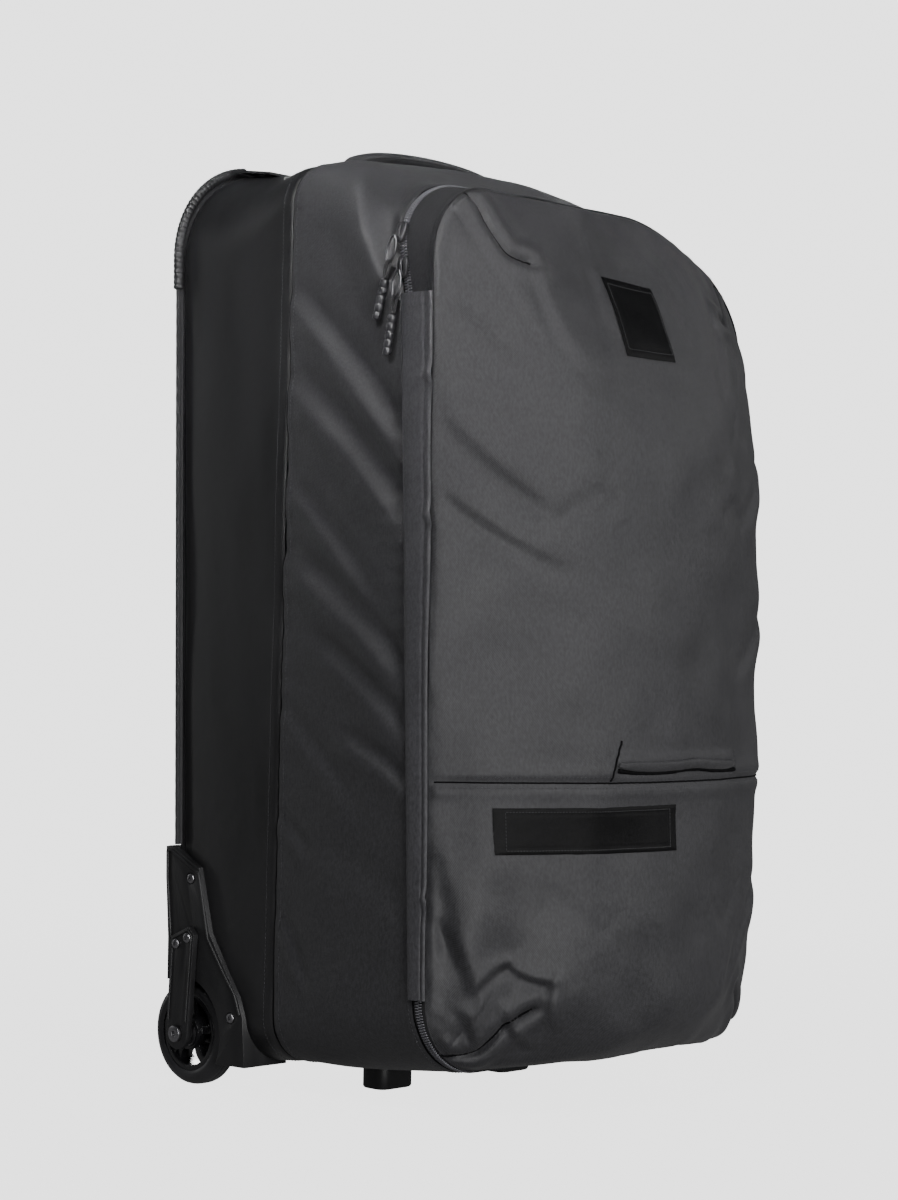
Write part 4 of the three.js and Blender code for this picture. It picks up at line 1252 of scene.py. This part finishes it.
def pull(name, y, z, lean):
    """A wire loop, a looped cord and the ribbed sleeve that grips it, hanging from a slider."""
    def placed(points):
        return turned_about_x(points, math.radians(lean)) + [PULL_X, y, z]

    t = np.linspace(0, 2 * math.pi, 41)
    loop = np.stack([0 * t, 4.2 * np.cos(t), 11 * (np.sin(t) - 1)], -1)
    wire = sweep(loop, (1, 0, 0), section_ring(10) * 0.95, closed_ends=False)
    piece = Piece(f"pull_loop_{name}_metal")
    piece.grid(placed(wire), wrap=True)
    piece.build(f"pull_{name}", "zip_metal", "zip_metal", [f"pull_loop_{name}"], True, 70)

    piece = Piece(f"pull_cord_{name}_cord")
    strand = curve([(0.6, -0.9, -34), (0.9, -1.3, -27), (1.6, -0.5, -21.3), (0, 0, -19.6),
                    (-1.6, 0.5, -21.3), (-0.9, 1.3, -27), (-0.6, 0.9, -34)], 46)
    braid = 1 + 0.08 * np.sin(np.linspace(0, 80, 46))
    piece.grid(placed(sweep(strand, (0, 1, 0.2), section_ring(10) * 1.15, braid)), 1, wrap=True)
    run = np.linspace(0, 1, 120)
    rib_count = 5
    radius = 2.7 + 0.85 * np.abs(np.sin(math.pi * rib_count * run)) ** 0.45
    radius[:2] *= [0.55, 0.85]
    radius[-3:] *= [0.9, 0.7, 0.4]
    core = np.stack([0 * run, 0 * run, -35 - 33 * run], -1)
    piece.grid(placed(sweep(core, (1, 0, 0), section_ring(20), radius)), 0, wrap=True)
    piece.build(f"pull_{name}", "cord_sleeve", "sleeve webbing", [f"pull_cord_{name}"], True, 70)


# ---------- piping, guards and seams ----------
def rear_arc(from_angle, to_angle, side, count):
    """Path of the piping round an upper corner of the back panel."""
    top = skin_top(rear_face(780)) + PIPING_OFFSET
    angle = np.radians(np.linspace(from_angle, to_angle, count))
    x = HALF_WIDTH + PIPING_OFFSET - REAR_CORNER + REAR_CORNER * np.cos(angle)
    z = top - REAR_CORNER + REAR_CORNER * np.sin(angle)
    return np.stack([side * x, rear_face(z) + PIPING_OFFSET, z], -1)


def rear_straight(side, low, high, count):
    """Path of the piping up or down a side of the back panel."""
    z = np.linspace(low, high, count)
    return np.stack([np.full(count, side * (HALF_WIDTH + PIPING_OFFSET)),
                     rear_face(z) + PIPING_OFFSET, z], -1)


def piping():
    low, high = 206, 708  # from the housings up to the corner arcs
    left, right = rear_arc(0, 90, -1, 50), rear_arc(90, 0, 1, 50)
    path = np.vstack([rear_straight(-1, low, high, 160), left, right, rear_straight(1, high, low, 160)])
    outwards = unit(np.cross(tangents(path), (0, 1, 0)))
    puckered = 1 + 0.03 * np.sin(lengths(path) / 2.1)
    piece = Piece("back_piping_cord")
    piece.grid(sweep(path, outwards, section_ring(14) * 2.2, puckered), wrap=True)
    # The flat flange that carries the cord into the seam.
    flange = path - 9 * outwards * [1, 0, 1] + [0, -3.4, 0]
    piece.grid(np.stack([flange, path]))
    piece.build("bag_body", "trim_webbing", "webbing", ["back_piping"], sharp=80)


GUARD_FOOT = 685.2  # lower end of the corner guards
GUARD_RIB_PITCH = 4.6


def corner_guards():
    """The ribbed sleeves over the piping's two corners."""
    for name, side in SIDES.items():
        arc = rear_arc(0, 84, side, 260)
        path = np.vstack([rear_straight(side, GUARD_FOOT, arc[0, 2] - 0.4, 60), arc])
        run = lengths(path)
        ribs = np.abs(np.sin(math.pi * run / GUARD_RIB_PITCH)) ** 0.5
        from_end = np.minimum(run, run[-1] - run)
        radius = (3.7 + 0.75 * ribs) * np.clip(0.55 + from_end / 3, 0, 1)
        outwards = -unit(np.cross(tangents(path), (0, side, 0)))
        piece = Piece(f"corner_guard_{name}_rubber")
        piece.grid(sweep(path, outwards, section_ring(18), radius), wrap=True)
        piece.build("bag_body", "black_plastic", "rubber", [f"corner_guard_{name}"], True, 80)


def closed(ring):
    """A ring of points with its first one repeated at the end."""
    return np.vstack([ring, ring[:1]])


def inner_binding(gusset):
    """The tape that binds the seam between the band and the gusset on the inside."""
    facing = closed(grid_normals(gusset, True)[1])
    path = closed(gusset[0]) - (WALL + 0.3) * facing
    piece = Piece("inner_binding_tape")
    piece.grid(sweep(path, facing, section_ring(12, 3) * [7, 1.1]), wrap=True)
    piece.build("bag_body", "lining_fabric", "tape", facing=True)


def body_seam_shadows(gusset):
    # Thin near-black tubes of painted shadow along the gusset's two seams.
    piece = Piece("body_seam_shadows")
    facing = grid_normals(gusset, True)
    for row in (1, -2):
        outwards = closed(facing[row])
        seam_shadow_line(piece, closed(gusset[row]) - 0.2 * outwards, outwards, 0.8)
    piece.build("bag_body", "woven_fabric", "seam", facing=True)


def body_stitching(band, gusset):
    """Stitch rows beside the seams of the body."""
    piece = Piece("body_stitching")
    for grid, row in ((gusset, 6), (band, -6), (gusset, -5)):
        add_stitches(piece, grid[row, 4:-4], grid_normals(grid, True)[row, 4:-4], lift=0.05)
    piece.build("bag_body", "woven_fabric", "thread")


# ---------- grab handle ----------
HANDLE_REACH = 88
HANDLE_PIVOT = 797
HANDLE_RISE = 15
HANDLE_Y = 95


def grab_handle():
    """The padded strap: a flattened arch with bound edges and a stitch row beside each."""
    turn = np.linspace(math.pi, 0, 120)
    x = HANDLE_REACH * np.cos(turn)
    z = HANDLE_PIVOT + HANDLE_RISE * np.sin(turn) ** 0.9
    path = np.stack([x, np.full_like(x, float(HANDLE_Y)), z], -1)
    from_middle = np.abs(np.linspace(-1, 1, 120))
    plump = 1 - 0.28 * smoothstep(from_middle, 0.72, 1)
    plump = (plump + 0.03 * np.sin(x / 5.5) * smoothstep(from_middle, 0.3, 0.9))[:, None]
    outwards = unit(np.cross(tangents(path), (0, 1, 0)))
    piece = Piece("grab_handle_pad")
    piece.grid(sweep(path, outwards, section_ring(28, 2.6) * [13.6, 5.4], plump[:, 0]), wrap=True)
    for side in SIDES.values():
        edge = path + [0, side * 12.9, 0] * plump
        piece.grid(sweep(edge, outwards, section_ring(10) * 1.5), 1, wrap=True)
        row = path + ([0, side * 8.6, 0] + outwards * 4.55) * plump
        add_stitches(piece, row[14:-14], outwards[14:-14], 2)
    piece.build("handle", "woven_fabric", "woven webbing thread", ["grab_handle"], True)


def handle_tabs():
    """Each tab: an upright lug on a base that is sewn to the sloping top, stitched all round."""
    surface, top = skin_top(HANDLE_Y) + 1.6, HANDLE_PIVOT - 6
    lug = rounded_block((20, 8, top - surface), 3, 1.2)
    base = rounded_block((34, 26, 1.8), 2, 0.6)
    base[..., 2] += TOP_SLOPE * base[..., 1]
    corners = np.array([(x, y, TOP_SLOPE * y) for x, y in [(-15, -11), (15, -11), (15, 11), (-15, 11)]])
    for name, side in SIDES.items():
        piece = Piece(f"handle_tab_{name}_webbing")
        piece.grid(lug + [side * HANDLE_REACH, HANDLE_Y, (surface + top) / 2], wrap=True)
        foot = np.array([side * HANDLE_REACH, HANDLE_Y, surface])
        piece.grid(base + foot + [0, 0, 0.9], wrap=True)
        for a, b in zip(corners, np.roll(corners, -1, 0)):
            row = mix(a, b, np.linspace(0, 1, 8)[:, None]) + foot + [0, 0, 1.9]
            add_stitches(piece, row, np.broadcast_to([0.0, 0, 1], row.shape), 1, 3)
        piece.build("bag_body", "trim_webbing", "webbing thread", [f"handle_tab_{name}"], True)


# ---------- inside ----------
LINER_Y = 134


def wheel_notch(x, y, z):
    return (np.abs(x) > 150) & (z < 208)


def inner_liner():
    """The sheet that covers the back board, cut away round the wheel housings."""
    i, j = panel_square(60, 110)
    low_radius, top_radius = corner_radii(LINER_Y)
    x, z = square_to_panel(i, j, HALF_WIDTH - WALL - 4, skin_floor(LINER_Y) + 7, skin_top(LINER_Y) - 7,
                           low_radius - 6, top_radius - 6)
    grid = np.stack([x, LINER_Y + 0.2 + 0 * x, z], -1)
    edge = np.minimum(1 - np.abs(i), 1 - np.abs(j)) * 190
    grid[..., 1] += (ripples(grid, 61, 80, 0.5) - 0.4) * smoothstep(edge, 0, 20)
    piece = Piece("inner_liner_cloth")
    piece.shell(grid, 1.2, False, kept_faces(grid, False, wheel_notch), looks=(0, 0))
    piece.build("bag_body", "lining_fabric", "lining", ["inner_liner"])


# ---------- wheels and moulded parts ----------
# Screws as (y, z), and how far from the middle their heads sit.
SCREWS = {
    "arm": (212.3, [(165.5, 122), (151, 128)]),
    "housing": (205, [(155.5, 178), (101.5, 64)]),
}


def screw_head():
    """A domed head with a six-sided socket, its underside at x = 0."""
    turn = full_turn(36)
    hexagon = math.cos(math.pi / 6) / np.cos((turn + math.pi / 6) % (math.pi / 3) - math.pi / 6)
    rows = []
    for out, radius, shape in (
        (-2, 0, 1), (-2, 2, 1), (0, 2, 1), (0, 4.2, 1), (0.8, 4.3, 1), (1.5, 3.9, 1), (2, 3, 1),
        (2.2, 2, 1), (2.2, 1.7, hexagon), (0.8, 1.55, hexagon), (0.8, 0, 1),
    ):
        ring = radius * shape + 0 * turn
        rows.append(np.stack([out + 0 * turn, ring * np.cos(turn), ring * np.sin(turn)], -1))
    return np.array(rows)


def screws():
    head = screw_head()
    for name, side in SIDES.items():
        for kind, (seat, places) in SCREWS.items():
            for number, (y, z) in enumerate(places, 1):
                node = f"{kind}_screw_{name}_{number}"
                piece = Piece(node + "_steel")
                piece.grid(head * [side, 1, 1] + [side * seat, y, z], wrap=True)
                piece.build("bag_body", "steel", "steel", [node], True, 35)


# Half of a tyre's section as (distance from its middle plane, radius), from the rim to the tread.
TYRE_SECTION = [
    (10.5, 33.1), (11.6, 35), (12, 37), (11.4, 39.5), (9.6, 42.4), (7, 44.2), (4.5, 44.85),
    (3.6, 44.95), (3, 44.5), (2.4, 44.5), (1.8, 45),
]


def tyres():
    """Rounded tyres with a fine groove on each side of the tread's middle."""
    inner = [(-x, radius) for x, radius in TYRE_SECTION]
    profile = inner + [(0, 45)] + TYRE_SECTION[::-1] + [(0, 33.1), inner[0]]
    for name, side in SIDES.items():
        piece = Piece(f"tyre_{name}_urethane")
        piece.grid(turned_grid(profile, [side * WHEEL_X, AXLE_Y, AXLE_Z], 96), wrap=True)
        piece.build(f"wheel_{name}", "tyre_urethane", "tyre", [f"tyre_{name}"], True, 50)


ARM_EDGE = [(174.6, 56), (170.4, 126), (150.6, 134.6), (146.2, 130.4), (152.2, 56)]


def subdivided(points, count):
    """A polyline with each of its stretches cut into the same number of steps."""
    steps = np.linspace(0, 1, count, endpoint=False)[:, None]
    return np.vstack([mix(a, b, steps) for a, b in zip(points[:-1], points[1:])] + [points[-1:]])


def housing_ridges():
    """The raised bead round each housing's outer face and along each wheel arm."""
    ring = np.array(HOUSING_OUTLINE[1:10], float)
    ring = ring + 4.5 * unit([140, 110] - ring)
    for name, side in SIDES.items():
        piece = Piece(f"housing_bead_{name}")
        for points, x, radius in ((ring, 206.2, 1.3), (np.array(ARM_EDGE), 212.1, 0.95)):
            path = subdivided(points, 12)
            path = np.column_stack([np.full(len(path), side * x), path])
            piece.grid(sweep(path, (side, 0, 0), section_ring(12) * radius), wrap=True)
        piece.build("bag_body", "black_plastic", "plastic", facing=True)


# Bevels (mm) of the moulded and metal parts that are shown as they are drawn, by look and slot.
DRAWN_PARTS = {
    ("plastic", "black_plastic"): {
        "wheel_housing": 1.1, "wheel_arm": 0.9, "skid_foot": 0.6, "handle_cup": 0.5,
        "tube_foot_block": 0.8, "trolley_grip": 1.4,
    },
    ("rubber", "black_plastic"): {"release_button": 0.25},
    ("gloss", "wheel_plastic"): {"wheel_hub": 0.5},
    ("board", "board_plastic"): {"back_board": 0.5, "base_plate": 0.6},
    ("aluminium", "aluminium"): {"outer_tube": 0.2, "inner_tube": 0.2},
    ("steel", "steel"): {
        "axle_bolt": 0.4, "axle_nut": 0.4, "outer_bearing": 0.3, "inner_bearing": 0.3,
        "lock_pin": 0.4, "push_rod": 0.2,
    },
}


def eased(node, bevel):
    """Flat faces without their triangles, and softened edges."""
    weld = node.modifiers.new("weld", "WELD")
    weld.merge_threshold = 1e-5
    flat = node.modifiers.new("flat", "DECIMATE")
    flat.decimate_type = "DISSOLVE"
    flat.angle_limit = math.radians(1)
    ease = node.modifiers.new("ease", "BEVEL")
    ease.width = bevel * MM
    ease.segments = 2
    ease.limit_method = "ANGLE"
    ease.angle_limit = math.radians(28)
    ease.harden_normals = True


def drawn_parts():
    """Eased edges and real surfaces on the parts kept from the drawing."""
    for (look, slot), bevels in DRAWN_PARTS.items():
        for prefix, bevel in bevels.items():
            for name in (prefix, prefix + "_left", prefix + "_right"):
                if name in frame["nodes"]:
                    node = frame["nodes"][name]
                    node.data.materials.clear()
                    node.data.materials.append(LOOKS[look])
                    node.data.shade_smooth()
                    eased(node, bevel)


# ---------- studio ----------
BACKDROP = (2.6, 2.6, 2.6)  # what the camera sees behind the bag
AMBIENT = (0.72, 0.74, 0.78)
FLOOR_REACH = 30
CAMERA_ROLL = 0.0175


def floor():
    """A pale floor that glows with the backdrop, so only the bag's faint shade shows on it."""
    mesh = bpy.data.meshes.new("floor")
    corners = [(x * FLOOR_REACH, y * FLOOR_REACH, 0) for x, y in [(-1, -1), (1, -1), (1, 1), (-1, 1)]]
    mesh.from_pydata(corners, [], [(0, 1, 2, 3)])
    look = Look("floor", 0.35, specular=0)
    distance = look.tree.nodes.new("ShaderNodeVectorMath")
    distance.operation = "LENGTH"
    look.plug(look.object, distance.inputs[0])
    far = look.spread(distance.outputs["Value"], 0, 1, 0.5, 1.8)
    look.tones(far, grey(0.16, 1), grey(0, 1))
    look.shader.inputs["Emission Color"].default_value = (*BACKDROP, 1)
    seen = look.tree.nodes.new("ShaderNodeLightPath").outputs["Is Camera Ray"]
    glow = look.spread(far, 0.92, 1, 0, 1)
    look.set(Emission_Strength=look.math("MULTIPLY", glow, look.spread(seen, 0.05, 1, 0, 1)))
    look.set(Roughness=look.spread(look.noise(6, 3), 0.3, 0.42))
    mesh.materials.append(look.material)
    new_object("floor", mesh)


def world():
    """A bright backdrop for the camera, and a dim one for everything that is lit."""
    scene_world = bpy.data.worlds.new("studio")
    bpy.context.scene.world = scene_world
    scene_world.use_nodes = True
    tree = scene_world.node_tree
    tree.nodes.clear()
    output = tree.nodes.new("ShaderNodeOutputWorld")
    mixer = tree.nodes.new("ShaderNodeMixShader")
    rays = tree.nodes.new("ShaderNodeLightPath")
    tree.links.new(rays.outputs["Is Camera Ray"], mixer.inputs[0])
    for socket, colour, strength in ((mixer.inputs[1], AMBIENT, 0.12), (mixer.inputs[2], BACKDROP, 1)):
        background = tree.nodes.new("ShaderNodeBackground")
        background.inputs["Color"].default_value = (*colour, 1)
        background.inputs["Strength"].default_value = strength
        tree.links.new(background.outputs[0], socket)
    tree.links.new(mixer.outputs[0], output.inputs["Surface"])


def softbox(name, place, aim, size, power, spread=180):
    """A rectangular light at a place, turned to its aim; spread is its beam in degrees."""
    light = bpy.data.lights.new(name, "AREA")
    light.shape = "RECTANGLE"
    light.size, light.size_y = size
    light.energy = power
    light.spread = math.radians(spread)
    lamp = new_object(name, light)
    lamp.location = place
    lamp.rotation_euler = (Vector(aim) - Vector(place)).to_track_quat("-Z", "Y").to_euler()
    lamp.visible_camera = False


def camera():
    """Low and to the left of the bag, with a slight roll."""
    data = bpy.data.cameras.new("camera")
    data.lens = 79.5
    data.sensor_width = 36
    data.shift_y = 0.05
    eye = new_object("camera", data)
    eye.location = (-1.6866, -1.5777, 0.369)
    look_along = Vector((0.7193, 0.6947, 0))
    turn = look_along.to_track_quat("-Z", "Y").to_matrix()
    roll = Euler((0, 0, CAMERA_ROLL)).to_matrix()
    eye.rotation_euler = (turn @ roll).to_euler()
    bpy.context.scene.camera = eye


def studio():
    world()
    floor()
    camera()
    softbox("key", (-1.15, -3.0, 0.72), (0, 0, 0.42), (1.0, 1.7), 108)
    softbox("front", (2.3, -2.5, 1.15), (0, 0, 0.55), (0.7, 0.8), 31)
    softbox("left", (-1.9, -1.1, 1.9), (-0.1, 0, 0.55), (0.5, 0.5), 30)
    softbox("upper_left", (-1.9, -0.6, 1.9), (-0.2, 0.03, 0.87), (0.5, 0.5), 1.5, 18)
    softbox("edge", (-0.9, 2.8, 0.9), (0, 0, 0.45), (0.25, 2.0), 6)
    softbox("fill", (2.6, -1.8, 1.0), (0, 0, 0.4), (1.0, 1.8), 2)
    softbox("back", (2.5, 2.5, 1.2), (0, 0, 0.4), (1.2, 1.2), 90)


# ---------- assembly ----------
band_grid = coated_band()
gusset_grid = front_gusset()
back_panel()
lid_cloth = Lid()
lid_cloth.build()
lid_seam_shadows(lid_cloth)
lid_stitching(lid_cloth)
lid_patch(lid_cloth, "lid_patch_square", [(-49, 683), (14, 681), (15, 618), (-45, 618)], 1.1, (6, 9))
lid_patch(lid_cloth, "lid_patch_band", [(-158, 253), (2, 254), (2, 217), (-157, 216)], 0.9, (5,))
pocket_welt(lid_cloth)
zip_tapes()
zip_teeth()
lid_hinge()
storm_flap()
sliders()
piping()
corner_guards()
inner_binding(gusset_grid)
body_seam_shadows(gusset_grid)
body_stitching(band_grid, gusset_grid)
grab_handle()
handle_tabs()
inner_liner()
screws()
tyres()
housing_ridges()
drawn_parts()
studio()
